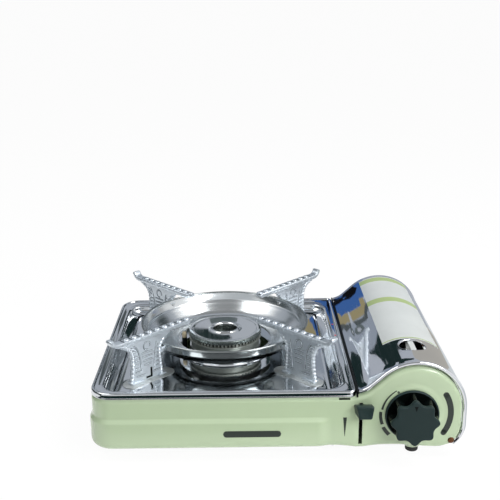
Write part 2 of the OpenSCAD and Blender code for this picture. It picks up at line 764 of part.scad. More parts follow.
module mixing_tube() {
    l = tube_run - chamber_r - tube_d;
    color([0.66, 0.67, 0.68]) difference() {
        on_tube(tube_d) rotate_extrude() difference() {
            square([tube_r, l]);
            square([tube_r - tube_wall, 12]);
            translate([0, 12 - eps]) polygon([[0, 0], [tube_r - tube_wall, 0], [tube_r - 3, 10], [tube_r - 3, 30],
                [tube_r - tube_wall, 60], [tube_r - tube_wall, l], [0, l]]);
        }
        on_tube(shutter_d + 2.5) translate([-2.5, -20, 0]) cube([5, 40, 4]);
        translate([bx, by, 0]) cylinder(h = 60, r = chamber_r);
    }
}

module burner_bracket() {
    color([0.68, 0.7, 0.71]) difference() {
        translate([bx - 38, by - 9, floor_z]) cube([76, 18, 1.2]);
        for (p = [2, 3]) translate([chassis_places[p][0], chassis_places[p][1], floor_z - 1])
            cylinder(h = 4, r = screw_r);
    }
}

core_seat_z = port_z1 - 4.2;

// Cast cup: inlet chamber, flare and ring seat, with a centre post for the core
module burner_body() {
    z0 = floor_z + 1.2;
    z2 = basin_z - 4.4;
    z1 = z2 - burner_r + chamber_r;
    color([0.7, 0.71, 0.71]) difference() {
        translate([bx, by, 0]) rotate_extrude() polygon([[0, z0], [chamber_r, z0], [chamber_r, z1],
            [burner_r, z2], [burner_r, port_z0], [burner_r - 3, port_z0], [burner_r - 3, z2 + 1],
            [chamber_r - 2, z1 + 3], [chamber_r - 2, z0 + 3], [8, z0 + 3], [6, core_seat_z], [0, core_seat_z]]);
        on_tube(tube_run - chamber_r - 2) cylinder(h = 8, r = tube_r - tube_wall);
    }
}

module burner_ring() {
    color([0.74, 0.72, 0.66]) translate([bx, by, 0]) difference() {
        translate([0, 0, port_z0]) rotate_extrude() polygon([[burner_r - 5, 0], [cap_r - 0.4, 0],
            [cap_r - 0.4, 1], [burner_r + 0.8, 1.4], [burner_r + 0.8, port_h], [burner_r - 3, port_h]]);
        for (i = [0 : port_count - 1]) rotate([0, 0, i * 360 / port_count])
            translate([burner_r - 6, -port_w / 2, port_z0 + 1.4]) cube([10, port_w, port_h]);
    }
}

module burner_core() {
    color([0.6, 0.61, 0.6]) translate([bx, by, core_seat_z]) difference() {
        union() {
            cylinder(h = 1.5, r = eye_hole_r - 0.6);
            translate([0, 0, 1.5]) cylinder(h = 1.6, r1 = eye_hole_r - 4, r2 = eye_hole_r - 6);
        }
        for (i = [0 : 9]) rotate([0, 0, i * 36]) translate([eye_hole_r - 2.6, 0, -1])
            cylinder(h = 5, r = 0.9);
    }
}

module burner_cap() {
    r = 1.4;
    lip = 1.4;
    color([0.8, 0.82, 0.83]) translate([bx, by, port_z1]) rotate_extrude() polygon(concat(
        [[eye_hole_r, -2.5], [eye_hole_r + 1, -2.5], [eye_hole_r + 1, 0], [cap_r, 0]],
        arc(cap_r - r, cap_t - r, r, 0, 90, 6),
        [[eye_r + 1.2, cap_t - 0.2], [eye_r, cap_t]],
        arc((eye_r + eye_hole_r) / 2, cap_t + lip - 1.5, 1.5, 0, 180, 6)));
}

module heat_strip() {
    ring_z = basin_z - 2.4;
    color([0.8, 0.79, 0.76]) union() {
        translate([bx, by, ring_z]) difference() {
            cylinder(h = 9, r = burner_r + strip_t);
            translate([0, 0, -1]) cylinder(h = 20, r = burner_r);
        }
        intersection() {
            translate([bx, by, strip_z]) difference() {
                cylinder(h = ring_z - strip_z + 1, r = burner_r + strip_t);
                translate([0, 0, -1]) cylinder(h = 20, r = burner_r);
            }
            translate([bx, strip_y, strip_z]) cube([60, strip_w, 20]);
        }
        difference() {
            translate([bx, strip_y, strip_z])
                cube([can_x - can_r - can_gap - strip_t / 2 - bx, strip_w, strip_t]);
            translate([bx, by, strip_z - 1]) cylinder(h = 20, r = burner_r);
        }
        along_y(strip_y, strip_y + strip_w) intersection() {
            translate([can_x, can_z]) difference() {
                circle(can_r + can_gap + strip_t);
                circle(can_r + can_gap);
            }
            translate([can_x - can_r - 4, strip_z]) square([20, 20]);
        }
    }
}

// ---- ignition ----

rod_r = 0.8;
ceramic_r = 2.6;
ceramic_z0 = basin_z - 8;
ceramic_z1 = port_z1 + 0.6;

module electrode_bracket() {
    z = ceramic_z0 + 4;
    color([0.7, 0.71, 0.72]) difference() {
        union() {
            translate([electrode_x - 5, by - 5, z]) cube([10, 10, 1.2]);
            translate([electrode_x, by - 3.5, z]) cube([bx - burner_r - electrode_x + 2, 7, 1.2]);
        }
        translate([electrode_x, by, z - 1]) cylinder(h = 4, r = ceramic_r);
        translate([bx, by, z - 1]) cylinder(h = 4, r = burner_r);
    }
}

module electrode_insulator() {
    color([0.9, 0.82, 0.68]) difference() {
        translate([electrode_x, by, 0]) rotate_extrude() polygon([[0, ceramic_z0], [ceramic_r, ceramic_z0],
            [ceramic_r, ceramic_z1 - 5], [ceramic_r - 0.8, ceramic_z1], [0, ceramic_z1]]);
        translate([electrode_x, by, ceramic_z0 - 1]) cylinder(h = 60, r = rod_r);
    }
}

module electrode_rod() {
    z = ceramic_z1 + 1.4;
    color([0.62, 0.62, 0.6]) union() {
        translate([electrode_x, by, ceramic_z0]) cylinder(h = z - ceramic_z0, r = rod_r);
        translate([electrode_x, by, z]) sphere(rod_r);
        translate([electrode_x, by, z]) rotate([0, 90, 0]) cylinder(h = 2.6, r = rod_r);
    }
}

wire_r = 1.3;
wire_z0 = base_z + 33;
wire_z1 = base_z + 48;
wire_y = face_y + 7;
piezo_z = knob_z;
piezo_x1 = knob_x - 18;
piezo_x0 = piezo_x1 - piezo_l;
wire_points = [[piezo_x0 - wire_r - 0.5, wire_y, piezo_z], [piezo_x0 - wire_r - 0.5, wire_y, wire_z1],
    [tray_x1 - 5, wire_y, wire_z1], [tray_x1 - 5, wire_y, wire_z0], [electrode_x - 12, by - 60, wire_z0],
    [electrode_x, by, wire_z0]];

// Round bar from a to b
module bar(a, b, r) {
    d = b - a;
    translate(a) rotate([0, acos(d[2] / norm(d)), atan2(d[1], d[0])]) cylinder(h = norm(d), r = r, $fn = 24);
}

module ignition_wire() {
    last = len(wire_points) - 1;
    color([0.75, 0.74, 0.7]) union() {
        for (i = [0 : last - 1]) bar(wire_points[i], wire_points[i + 1], wire_r);
        for (p = wire_points) translate(p) sphere(wire_r + 0.05, $fn = 24);
        bar(wire_points[last], [electrode_x, by, ceramic_z0], wire_r);
        bar([piezo_x0, wire_y, piezo_z], wire_points[0], wire_r);
    }
}

module piezo_body() {
    color([0.16, 0.16, 0.17]) difference() {
        translate([piezo_x0, face_y + shell_t, piezo_z - piezo_h / 2]) cube([piezo_l, 11, piezo_h]);
        translate([piezo_x0 + 6, cam_y + cam_t / 2, piezo_z]) rotate([0, 90, 0])
            cylinder(h = 20, r = plunger_r + fit);
    }
}

module piezo_plunger() {
    x0 = piezo_x0 + 6 + cam_rise + 1;
    color([0.85, 0.85, 0.82]) translate([x0, cam_y + cam_t / 2, piezo_z]) rotate([0, 90, 0])
        cylinder(h = knob_x - cam_r - clear - x0, r = plunger_r);
}

// ---- knob ----

// Star outline with blunt narrow lobes and wide hollows
module grip_area(tip, valley) {
    n = 16 * lobes;
    mid = (tip + valley) / 2;
    amp = (tip - valley) / 2;
    polygon([for (i = [0 : n - 1]) let (a = 360 * i / n, w = cos(a * lobes),
        r = mid + amp * (w + 0.16 * cos(2 * a * lobes) - 0.16)) [r * sin(a), r * cos(a)]]);
}

module knob() {
    skirt_y = face_y - dish_out - 0.8;
    grip_l = knob_reach - dish_out - 0.8 - skirt_t;
    color([0.17, 0.21, 0.2]) translate([knob_x, skirt_y, knob_z]) rotate([90, 0, 0]) difference() {
        union() {
            rotate_extrude() polygon(concat([[0, 0]], [[skirt_r, 0]],
                arc(skirt_r - 1, skirt_t - 1, 1, 0, 90, 4), [[0, skirt_t]]));
            translate([0, 0, skirt_t - eps]) linear_extrude(grip_l - 5 + eps)
                grip_area(grip_r - 1.6, grip_r - 8);
            translate([0, 0, skirt_t + grip_l - 5 - eps]) linear_extrude(5 + eps)
                grip_area(grip_r, grip_r - 4.6);
        }
        translate([0, 0, -1]) cylinder(h = 11, r = spindle_r);
        // pointer notch at the top lobe
        translate([0, 0, skirt_t + grip_l - 1.2]) linear_extrude(2)
            polygon([[-1.8, grip_r - 4.6], [1.8, grip_r - 4.6], [0, grip_r - 10]]);
    }
}

// Spindle with the igniter cam: the cam radius grows evenly with the turn
module knob_spindle() {
    tail_y = cam_y + cam_t + 3 + 11;
    y0 = face_y - dish_out - 0.8 - 9.9;
    color([0.74, 0.75, 0.75]) union() {
        along_y(y0, tail_y) translate([knob_x, knob_z]) circle(spindle_r);
        along_y(cam_y, cam_y + cam_t) translate([knob_x, knob_z]) polygon([for (i = [0 : 72])
            let (a = 5 * i, rise = cam_rise * cam_lift(a)) (cam_r + rise) * [cos(a), sin(a)]]);
    }
}

// Share of the cam rise at angle a; the plunger stands at 180 degrees
function cam_lift(a) = a > 180 ? 0 : a >= 180 - knob_turn ? (180 - a) / knob_turn : a / (180 - knob_turn);

// ---- lever and cradle ----

pin_d = 4;
cam_slot_w = pin_d + 0.2;
rail_x0 = slot_x + arm_t / 2 + 1.6;
rail_t = 1.6;
rail_z0 = base_z + 25.5;
trough_top = 4;
skid_x = 9;
skid_w = 3;

module lever_button() {
    w = button_w;
    h = button_h;
    y0 = face_y - button_reach;
    color([0.2, 0.25, 0.24]) difference() {
        translate([slot_x + button_dx, 0, lever_z]) hull() {
            along_y(y0, y0 + 1.5) polygon([[-w / 2 + 0.6, h / 2], [w / 2, h / 2], [w / 2 - 1.6, -h / 2 + 0.5],
                [-w / 2 + 1.8, -h / 2 + 0.5]]);
            along_y(face_y - 1.4, face_y - 0.4) polygon([[-w / 2, h / 2 - 1], [w / 2 - 0.6, h / 2 - 1],
                [w / 2 - 2.4, -h / 2], [-w / 2 + 2, -h / 2]]);
        }
        translate([slot_x - arm_t / 2, face_y - 8, lever_z - arm_h / 2]) cube([arm_t, 10, arm_h]);
        // finger hollow in the face
        translate([slot_x + button_dx, y0 - 9.4, lever_z]) sphere(r = 11);
    }
}

module lever_arm() {
    color([0.72, 0.73, 0.74]) union() {
        along_x(slot_x - arm_t / 2, slot_x + arm_t / 2) union() {
            translate([face_y - 8, lever_z - arm_h / 2]) square([pin_y - face_y + 8, arm_h]);
            translate([pin_y, lever_z]) circle(arm_h / 2);
        }
        translate([slot_x - eps, pin_y, lever_z]) rotate([0, 90, 0])
            cylinder(h = rail_x0 + rail_t + 1.2 - slot_x, r = pin_d / 2);
    }
}

// Cam slot from the raised lever pin down and back, in (y, z)
module cam_slot() {
    n = 2;
    a = [pin_y, lever_z];
    b = [pin_y + cradle_travel, lever_z - lever_travel];
    turn = atan2(b[1] - a[1], b[0] - a[0]);
    reach = norm(b - a);
    translate(a) rotate(turn) union() {
        circle(cam_slot_w / 2);
        translate([0, -cam_slot_w / 2]) square([reach, cam_slot_w]);
        translate([reach, 0]) circle(cam_slot_w / 2);
    }
}

// Section of the trough under the canister, with its two skids
module trough_area() {
    r = can_r + can_gap;
    difference() {
        union() {
            intersection() {
                translate([can_x, can_z]) circle(r + cradle_t);
                translate([can_x - r - 2 * cradle_t, floor_z])
                    square([2 * r + 4 * cradle_t, can_z - floor_z - trough_top]);
            }
            for (s = [-1, 1]) translate([can_x + s * skid_x - skid_w / 2, floor_z + fit]) square([skid_w, 4]);
        }
        translate([can_x, can_z]) circle(r);
    }
}

module cradle() {
    y0 = socket_y + 13;
    shelf_l = 40;
    r = can_r + can_gap;
    shelf_x1 = can_x - sqrt(pow(r + cradle_t / 2, 2) - pow(trough_top, 2));
    color([0.72, 0.74, 0.75]) union() {
        along_y(y0, pusher_y + 1.5) trough_area();
        // pusher plate behind the canister
        along_y(pusher_y, pusher_y + 1.5) intersection() {
            translate([can_x, can_z]) circle(r + cradle_t);
            translate([can_x - r - 2 * cradle_t, floor_z])
                square([2 * r + 4 * cradle_t, can_z - floor_z + pusher_h]);
        }
        // rail and cam plate
        difference() {
            along_x(rail_x0, rail_x0 + rail_t) union() {
                translate([pin_y - 5, lever_z - lever_travel - 5])
                    square([cradle_travel + 10, lever_travel + 9.5]);
                translate([pin_y, rail_z0]) square([y0 + shelf_l - pin_y, can_z - trough_top - rail_z0]);
            }
            along_x(rail_x0 - 1, rail_x0 + rail_t + 1) cam_slot();
        }
        translate([rail_x0, y0, can_z - trough_top - 1.2]) cube([shelf_x1 - rail_x0, shelf_l, 1.2]);
    }
}

spring_r = 1.6;
spring_wire = 0.35;
spring_turns = 10;

// Round wire wound upward into a spring
module coil(r, wire, turns, len) {
    steps = 12;
    sides = 6;
    n = turns * steps;
    pts = [for (i = [0 : n]) for (k = [0 : sides - 1])
        let (a = 360 * i / steps, b = 360 * k / sides, q = r + wire * cos(b))
        [q * cos(a), q * sin(a), wire + (len - 2 * wire) * i / n + wire * sin(b)]];
    sheets = [for (i = [0 : n - 1]) for (k = [0 : sides - 1])
        let (m = (k + 1) % sides)
        [i * sides + k, i * sides + m, (i + 1) * sides + m, (i + 1) * sides + k]];
    polyhedron(points = pts, faces = concat(sheets, [[for (k = [sides - 1 : -1 : 0]) k]],
        [[for (k = [0 : sides - 1]) n * sides + k]]));
}

// Spring under the lever arm, standing on the bottom plate
module lever_spring() {
    color([0.6, 0.62, 0.63]) translate([slot_x, pin_y - 3, floor_z])
        coil(spring_r, spring_wire, spring_turns, lever_z - arm_h / 2 - floor_z);
}

// ---- lid ----

module lid_ring(k0, k1) {
    difference() {
        lid_area(k0);
        lid_area(k1);
    }
}

module lid() {
    low_end = base_z + 1.5;
    bead_t = end_inset - 1.3;
    y0 = face_y + shell_t + 0.4;
    y1 = rear_y - shell_t - 0.4;
    ky = [y0, y1 - knuckle_l];
    color([0.8, 0.82, 0.83]) difference() {
        union() {
            along_y(y0, y1) intersection() {
                lid_ring(0, lid_t);
                lid_keep(low_end);
            }
            // rolled beads over the end walls
            for (y = [[face_y, y0], [y1, rear_y]]) along_y(y[0], y[1]) intersection() {
                lid_ring(0, bead_t);
                lid_keep(bead_low);
            }
            for (y = [[y0, face_y + bead_w], [rear_y - bead_w, y1]]) along_y(y[0], y[1]) intersection() {
                lid_ring(lid_t / 2, bead_t);
                lid_keep(bead_low);
            }
            // hem along the partition
            along_y(face_y + flange_w + 1, rear_y - flange_w - 1) intersection() {
                lid_area(lid_t / 2);
                translate([lid_x0, hem_z]) square([lid_t, lid_r]);
            }
            for (y = ky) translate([hinge_x, y, hinge_z]) rotate([-90, 0, 0])
                cylinder(h = knuckle_l, r = knuckle_r);
            for (y = ky) along_y(y, y + knuckle_l) translate([low_x, low_z]) rotate(-50)
                translate([hinge_d, -1.2]) square([lid_low_r - hinge_d - lid_t / 2, 1.6]);
            // turned-down rim of the window
            intersection() {
                translate([window_x, window_y, can_z + lid_r - 5]) cylinder(h = 5, r = window_r + lid_t);
                along_y(window_y - 20, window_y + 20) lid_area(lid_t / 2);
            }
        }
        translate([window_x, window_y, can_z]) cylinder(h = 60, r = window_r);
        for (y = ky) translate([hinge_x, y - 1, hinge_z]) rotate([-90, 0, 0])
            cylinder(h = knuckle_l + 2, r = pin_r + fit);
    }
}

module lid_keep(z0) {
    union() {
        translate([lid_x0, rim_z - 4]) square([lid_r * 3, lid_r * 3]);
        translate([can_x, z0]) square([lid_r * 2, lid_r * 3]);
    }
}

module hinge_pin(y, dir) {
    color([0.5, 0.3, 0.2]) translate([hinge_x, y, hinge_z]) rotate([dir * -90, 0, 0]) union() {
        cylinder(h = shell_t + 0.4 + knuckle_l, r = pin_r);
        translate([0, 0, -1.2]) cylinder(h = 1.2, r1 = 2.2, r2 = 3);
    }
}

// ---- pan support ----

bowl_step_r = bowl_r - 6;
bowl_low_r = bowl_r - 17.5;

module wind_bowl() {
    t = bowl_t;
    z1 = bowl_z;
    z0 = bowl_floor_z;
    zs = bowl_z - 10.3;
    inner = concat([[bowl_r - 1.4, z1 - 0.6], [bowl_step_r + 0.6, zs + 0.8], [bowl_step_r - 0.8, zs]],
        arc(bowl_low_r - 3.2, z0 + t + 3.2, 3.2, -20, -90, 5),
        [[bowl_hole_r + 1.5, z0 + t], [bowl_hole_r + 1, z0 + t + 1.2], [bowl_hole_r, z0 + t + 1.2]]);
    outer = concat([[bowl_hole_r, z0 + 0.4], [bowl_hole_r + 0.6, z0]],
        arc(bowl_low_r - 3.2, z0 + 4.1, 4.1, -90, -20, 5),
        [[bowl_step_r, zs - 0.5], [bowl_step_r + 1.5, zs + 0.6], [bowl_r - 0.6, z1 - 2.2]]);
    color([0.8, 0.8, 0.79]) translate([bx, by, 0]) difference() {
        union() {
            rotate_extrude() polygon(concat(inner, outer));
            translate([0, 0, z1 - 1.4]) rotate_extrude() translate([bowl_r - 1.4, 0]) circle(1.4, $fn = 32);
        }
        for (a = [45 : 90 : 315]) rotate([0, 0, a]) leg_rivet_hole();
    }
}

lug_z0 = bowl_z - 8.8;
lug_z1 = bowl_z - 3.2;

// Outside radius of the upper bowl wall at height z
function bowl_wall(z) = bowl_step_r + 1.5 + (z - (bowl_z - 9.7)) * 3.9 / 7.5;

// One leg, standing along +X from the burner centre
module leg_shape() {
    z0 = leg_z;
    z1 = rest_z - rest_t;
    rope = 3;
    mid = (leg_in + leg_out) / 2;
    arch_r = (pow(leg_w / 2 - 5, 2) + pow(arch_h, 2)) / (2 * arch_h);
    difference() {
        leg_casting(z0, z1, rope, mid);
        // arch between the two feet
        translate([mid - 2, 10, z0 + arch_h - arch_r]) rotate([90, 0, 0]) cylinder(h = 20, r = arch_r);
        // L-shaped recess on both faces
        for (s = [-1, 1]) translate([mid, s * web_t / 2 - 0.5, z0]) {
            translate([0, 0, 4.4]) cube([1.6, 1, 6.8]);
            translate([-2.8, 0, 4.4]) cube([4.4, 1, 1.8]);
        }
    }
}

module leg_casting(z0, z1, rope, mid) {
    union() {
        // web, flaring to the pan rest
        rotate([90, 0, 0]) translate([0, 0, -web_t / 2]) linear_extrude(web_t) polygon(concat(
            [[leg_in - 2.5, z0], [leg_out + 1.5, z0], [leg_out - 0.8, z0 + 12], [leg_out - 1.2, z0 + 22]],
            arc(leg_out + 11.5, z0 + 23, 12.4, 180, 118, 8),
            [[leg_out + 14, z1 + eps], [leg_in - 14, z1 + eps]],
            arc(leg_in - 9.6, z0 + 28, 9, 70, 0, 6),
            [[leg_in - 0.4, z0 + 20]]));
        // roped borders
        for (s = [[leg_in - 2.5, leg_in - 0.4], [leg_out + 1.5, leg_out - 1.2]]) hull() {
            translate([s[0], 0, z0]) cylinder(h = 1, r = rope, $fn = 24);
            translate([s[1], 0, z0 + 22]) cylinder(h = 1, r = rope * 0.85, $fn = 24);
        }
        // foot flange
        translate([leg_in - 4, -rest_w / 2, z0]) cube([leg_out - leg_in + 7, rest_w, 1.6]);
        // pan rest with curled tip
        rotate([90, 0, 0]) translate([0, 0, -rest_w / 2]) linear_extrude(rest_w) union() {
            polygon(concat([[rest_in, z1 + 1], [rest_in + 3, z1], [rest_out - 9, z1]],
                arc(rest_out - 9, z1 + 8, 8, -90, -8, 6),
                [[rest_out, rest_z + tip_h - 1.6], [rest_out - 1.5, rest_z + tip_h],
                 [rest_out - 3.6, rest_z + tip_h - 0.6]],
                arc(rest_out - 10, rest_z + 5, 5, -10, -90, 5),
                [[rest_in + 2, rest_z], [rest_in, rest_z - 1.5]]));
        }
        for (x = [rest_in + 4 : bead_pitch : rest_out - 9]) translate([x, 0, rest_z]) rotate([90, 0, 0])
            translate([0, 0, -rest_w / 2 + 0.6]) cylinder(h = rest_w - 1.2, r = 1.2, $fn = 24);
        // raised ornament: ring and four bars on both faces
        for (s = [-1, 1]) {
            translate([mid + 2, s * web_t / 2, z0 + 31]) rotate([90, 0, 0])
                translate([0, 0, -0.6]) difference() {
                cylinder(h = 1.2, r = 4.6, $fn = 40);
                translate([0, 0, -1]) cylinder(h = 4, r = 3.2, $fn = 40);
            }
            for (i = [0 : 3]) translate([mid - 4, s * web_t / 2 - 0.6, z0 + 12.5 + 3.7 * i])
                cube([leg_w / 2 - 5, 1.2, 1.5]);
            // scroll line beside the bars
            translate([mid - 8.5, s * web_t / 2, z0]) rotate([90, 0, 0]) translate([0, 0, -0.6])
                linear_extrude(1.2) intersection() {
                    translate([38, 22]) difference() {
                        circle(38.7);
                        circle(37.3);
                    }
                    translate([-1, 9]) square([6, 25]);
                }
        }
    }
}

// Lug that lies against the bowl wall under the rim
module leg_lug() {
    h = lug_z1 - lug_z0;
    difference() {
        translate([bowl_wall(lug_z0) - 1, -rest_w / 2 + 1, lug_z0])
            cube([leg_in + 1 - bowl_wall(lug_z0), rest_w - 2, h]);
        translate([0, 0, lug_z0 - 1])
            cylinder(h = h + 2, r1 = bowl_wall(lug_z0 - 1), r2 = bowl_wall(lug_z1 + 1));
    }
}

module leg(turn) {
    color([0.66, 0.69, 0.71]) translate([bx, by, 0]) rotate([0, 0, turn]) difference() {
        union() {
            leg_shape();
            leg_lug();
        }
        leg_rivet_hole();
    }
}

rivet_r = 1.5;

// Places a shape on the outside of the bowl wall, +Z pointing out through the wall
module at_rivet() {
    z = (lug_z0 + lug_z1) / 2;
    translate([bowl_wall(z), 0, z]) rotate([0, 180 - atan2(7.5, 3.9), 0]) children();
}

module leg_rivet_hole() {
    at_rivet() translate([0, 0, -4]) cylinder(h = 9, r = rivet_r);
}

module leg_rivets() {
    head = bowl_t + 0.45;
    color([0.7, 0.72, 0.73]) translate([bx, by, 0]) for (a = [45 : 90 : 315])
        rotate([0, 0, a]) at_rivet() union() {
        translate([0, 0, -head]) cylinder(h = head + 5, r = rivet_r);
        translate([0, 0, -head - 0.8]) cylinder(h = 0.8, r1 = 1.6, r2 = 2.2);
    }
}

body_shell();
bottom_plate();
foot(foot_places[0]);  // foot_front_left
foot(foot_places[1]);  // foot_front_right
foot(foot_places[2]);  // foot_rear_left
foot(foot_places[3]);  // foot_rear_right
bottom_screws();
drip_tray();
partition();
valve_bracket();
valve_body();
regulator_cap();
socket_seal();
chassis_screws();
nozzle();
air_shutter();
mixing_tube();
burner_bracket();
burner_body();
burner_ring();
burner_core();
burner_cap();
heat_strip();
electrode_bracket();
electrode_insulator();
electrode_rod();
ignition_wire();
piezo_body();
piezo_plunger();
knob();
knob_spindle();
lever_button();
lever_arm();
cradle();
lever_spring();
lid();
hinge_pin(face_y, 1);  // hinge_pin_front
hinge_pin(rear_y, -1);  // hinge_pin_rear
wind_bowl();
leg(225);  // leg_front_left
leg(315);  // leg_front_right
leg(135);  // leg_rear_left
leg(45);  // leg_rear_right
leg_rivets();
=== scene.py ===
"""Finish of the butane cassette stove: enamelled shell, polished tray and lid, spun bowl, cast legs, moulded knob."""

import functools
import json
import math

import bmesh
import bpy
from mathutils import Matrix, Vector
from mathutils.bvhtree import BVHTree


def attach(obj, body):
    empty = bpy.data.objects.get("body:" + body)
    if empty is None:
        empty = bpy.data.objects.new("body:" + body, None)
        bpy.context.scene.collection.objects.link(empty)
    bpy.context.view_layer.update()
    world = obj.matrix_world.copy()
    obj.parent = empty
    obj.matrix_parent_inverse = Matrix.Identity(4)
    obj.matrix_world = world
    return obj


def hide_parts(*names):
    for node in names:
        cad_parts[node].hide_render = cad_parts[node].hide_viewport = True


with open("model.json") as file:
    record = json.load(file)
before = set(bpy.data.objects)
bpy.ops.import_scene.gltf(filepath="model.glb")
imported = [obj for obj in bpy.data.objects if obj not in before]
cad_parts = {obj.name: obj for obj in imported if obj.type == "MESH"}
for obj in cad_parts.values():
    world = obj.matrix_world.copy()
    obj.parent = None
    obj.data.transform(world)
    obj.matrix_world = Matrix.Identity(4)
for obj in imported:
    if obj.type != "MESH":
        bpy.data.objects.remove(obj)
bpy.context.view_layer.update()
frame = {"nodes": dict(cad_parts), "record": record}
MM = 0.001


# ---- shape helpers ----

def cosd(a):
    return math.cos(math.radians(a))


def sind(a):
    return math.sin(math.radians(a))


def polar(cx, cy, r, a):
    """The point at angle a, in degrees, on a circle."""
    return cx + r * cosd(a), cy + r * sind(a)


def arc(cx, cy, r, a0, a1, n):
    """Points on a circle from angle a0 to a1, in degrees."""
    return [polar(cx, cy, r, a0 + (a1 - a0) * i / n) for i in range(n + 1)]


def circle(steps):
    """Unit vectors round a full turn."""
    return [(math.cos(2 * math.pi * i / steps), math.sin(2 * math.pi * i / steps)) for i in range(steps)]


def ease(t):
    """0 to 1 with a flat start and end."""
    t = min(max(t, 0.0), 1.0)
    return t * t * (3 - 2 * t)


def fillet(corners, n=4):
    """A polyline of (x, y, r) corners, each rounded by its r."""
    out = []
    for i, (x, y, r) in enumerate(corners):
        p = Vector((x, y))
        if i in (0, len(corners) - 1):
            out.append((x, y))
            continue
        before = Vector(corners[i - 1][:2]) - p
        after = Vector(corners[i + 1][:2]) - p
        a = p + before * min(r / max(before.length, 1e-6), 0.5)
        b = p + after * min(r / max(after.length, 1e-6), 0.5)
        for k in range(n + 1):
            t = k / n
            q = a * (1 - t) ** 2 + p * 2 * t * (1 - t) + b * t * t
            out.append((q.x, q.y))
    return out


# ---- sizes shared with the frame, in millimetres ----

LEFT, FACE, REAR = -170.0, -114.5, 132.5  # body without its band
BASE, SKIRT, SEAT, RIM = 11.0, 61.5, 66.6, 67.4  # heights of flange, tray skirt, seat of the tray and rim
CORNER, BAND = 20, 2.5  # corner radius, reach of the lower band
JOIN_X = 52  # where the drawn wall meets the end walls
TRAY_X1, BORDER, PAD_TOP = 72.0, 65.95, 59.27  # tray's right edge, heights of its border and leg pads
BURNER = (-49.0, 9.0)
AXIS = (*BURNER, 0)
PAD_AT = 101  # pads of the legs, from the burner's axis
SLOT_X, SLOT_HALF = 76.2, 1.7  # slot of the lever
KNOB_X, KNOB_Z = 122.2, 44.5
CAN_X, CAN_Z, CROWN_R = 126.5, 49.0, 46.0  # canister axis and the lid's crown round it
LOW_X, LOW_Z, LOW_R = 146.0, 33.0, 26.5  # lid's bend low on the right
WAIST_R, SLOPE = 22.0, 42.0  # bend between tray and crown
WAIST_Z = RIM + WAIST_R
WAIST_X = CAN_X + (cosd(SLOPE) * (WAIST_Z - CAN_Z) - (CROWN_R + WAIST_R)) / sind(SLOPE)
INSET = 4.5  # end walls inside the lid's outside
HEM_X, LID_K = 74.2, 0.6  # lid's left edge, its sheet inside its bead
HINGE_X, HINGE_Z = 159.177, 17.296
WINDOW_X, WINDOW_Y, PATCH = 128.5, -72.5, 17  # window in the lid, half of the square cut from its grid
REST_Z, PAD_Z = 105.4, 59.2  # top and foot of the legs
LEGS = {"front_left": 225, "front_right": 315, "rear_left": 135, "rear_right": 45}


# ---- pieces ----

class Sheet:
    """Points in millimetres and faces of one piece, each face with a finish number."""

    def __init__(self):
        self.points, self.faces, self.finish = [], [], []

    def add(self, points, faces, finish=0):
        start = len(self.points)
        self.points += [tuple(p) for p in points]
        self.faces += [[start + i for i in f] for f in faces]
        self.finish += [finish] * len(faces)

    def strip(self, loops, closed=False, finish=0):
        """Quads between neighbouring loops of equal length."""
        m = len(loops[0])
        faces = []
        for i in range(len(loops) - 1):
            for k in range(m if closed else m - 1):
                a, b, n = i * m, (i + 1) * m, (k + 1) % m
                faces.append([a + k, a + n, b + n, b + k])
        self.add([p for loop in loops for p in loop], faces, finish)

    def cap(self, loop, finish=0):
        self.add(loop, [list(range(len(loop)))], finish)

    def turned(self, profile, at, steps=96, axis="z", finish=0):
        """A (radius, height) profile turned through at, round an upright axis or one along y."""
        loops = []
        for r, h in profile:
            ring = [(r * c, r * s, h) if axis == "z" else (r * c, h, -r * s) for c, s in circle(steps)]
            loops.append([tuple(p[k] + at[k] for k in range(3)) for p in ring])
        self.strip(loops, closed=True, finish=finish)

    def block(self, lo, hi, soft, finish=0):
        """A box with eased edges."""
        b = bmesh.new()
        bmesh.ops.create_cube(b, size=1)
        for v in b.verts:
            v.co = Vector([lo[k] + (v.co[k] + 0.5) * (hi[k] - lo[k]) for k in range(3)])
        bmesh.ops.bevel(b, geom=list(b.edges), offset=soft, segments=2, profile=0.6, affect="EDGES")
        b.verts.index_update()
        self.add([v.co[:] for v in b.verts], [[v.index for v in f.verts] for f in b.faces], finish)
        b.free()

    def rod(self, path, radius, sides=12, finish=0):
        """A round bar along a path; radius may be a function of the share of the way."""
        loops = []
        for i, p in enumerate(path):
            ahead = Vector(path[min(i + 1, len(path) - 1)]) - Vector(path[max(i - 1, 0)])
            ahead.normalize()
            side = ahead.cross(Vector((0, 1, 0.01))).normalized()
            up = side.cross(ahead)
            r = radius(i / (len(path) - 1)) if callable(radius) else radius
            loops.append([Vector(p) + (side * c + up * s) * r for c, s in circle(sides)])
        self.strip(loops, closed=True, finish=finish)
        self.cap(loops[0][::-1], finish)
        self.cap(loops[-1], finish)


def new_object(name, data):
    obj = bpy.data.objects.new(name, data)
    bpy.context.scene.collection.objects.link(obj)
    return obj


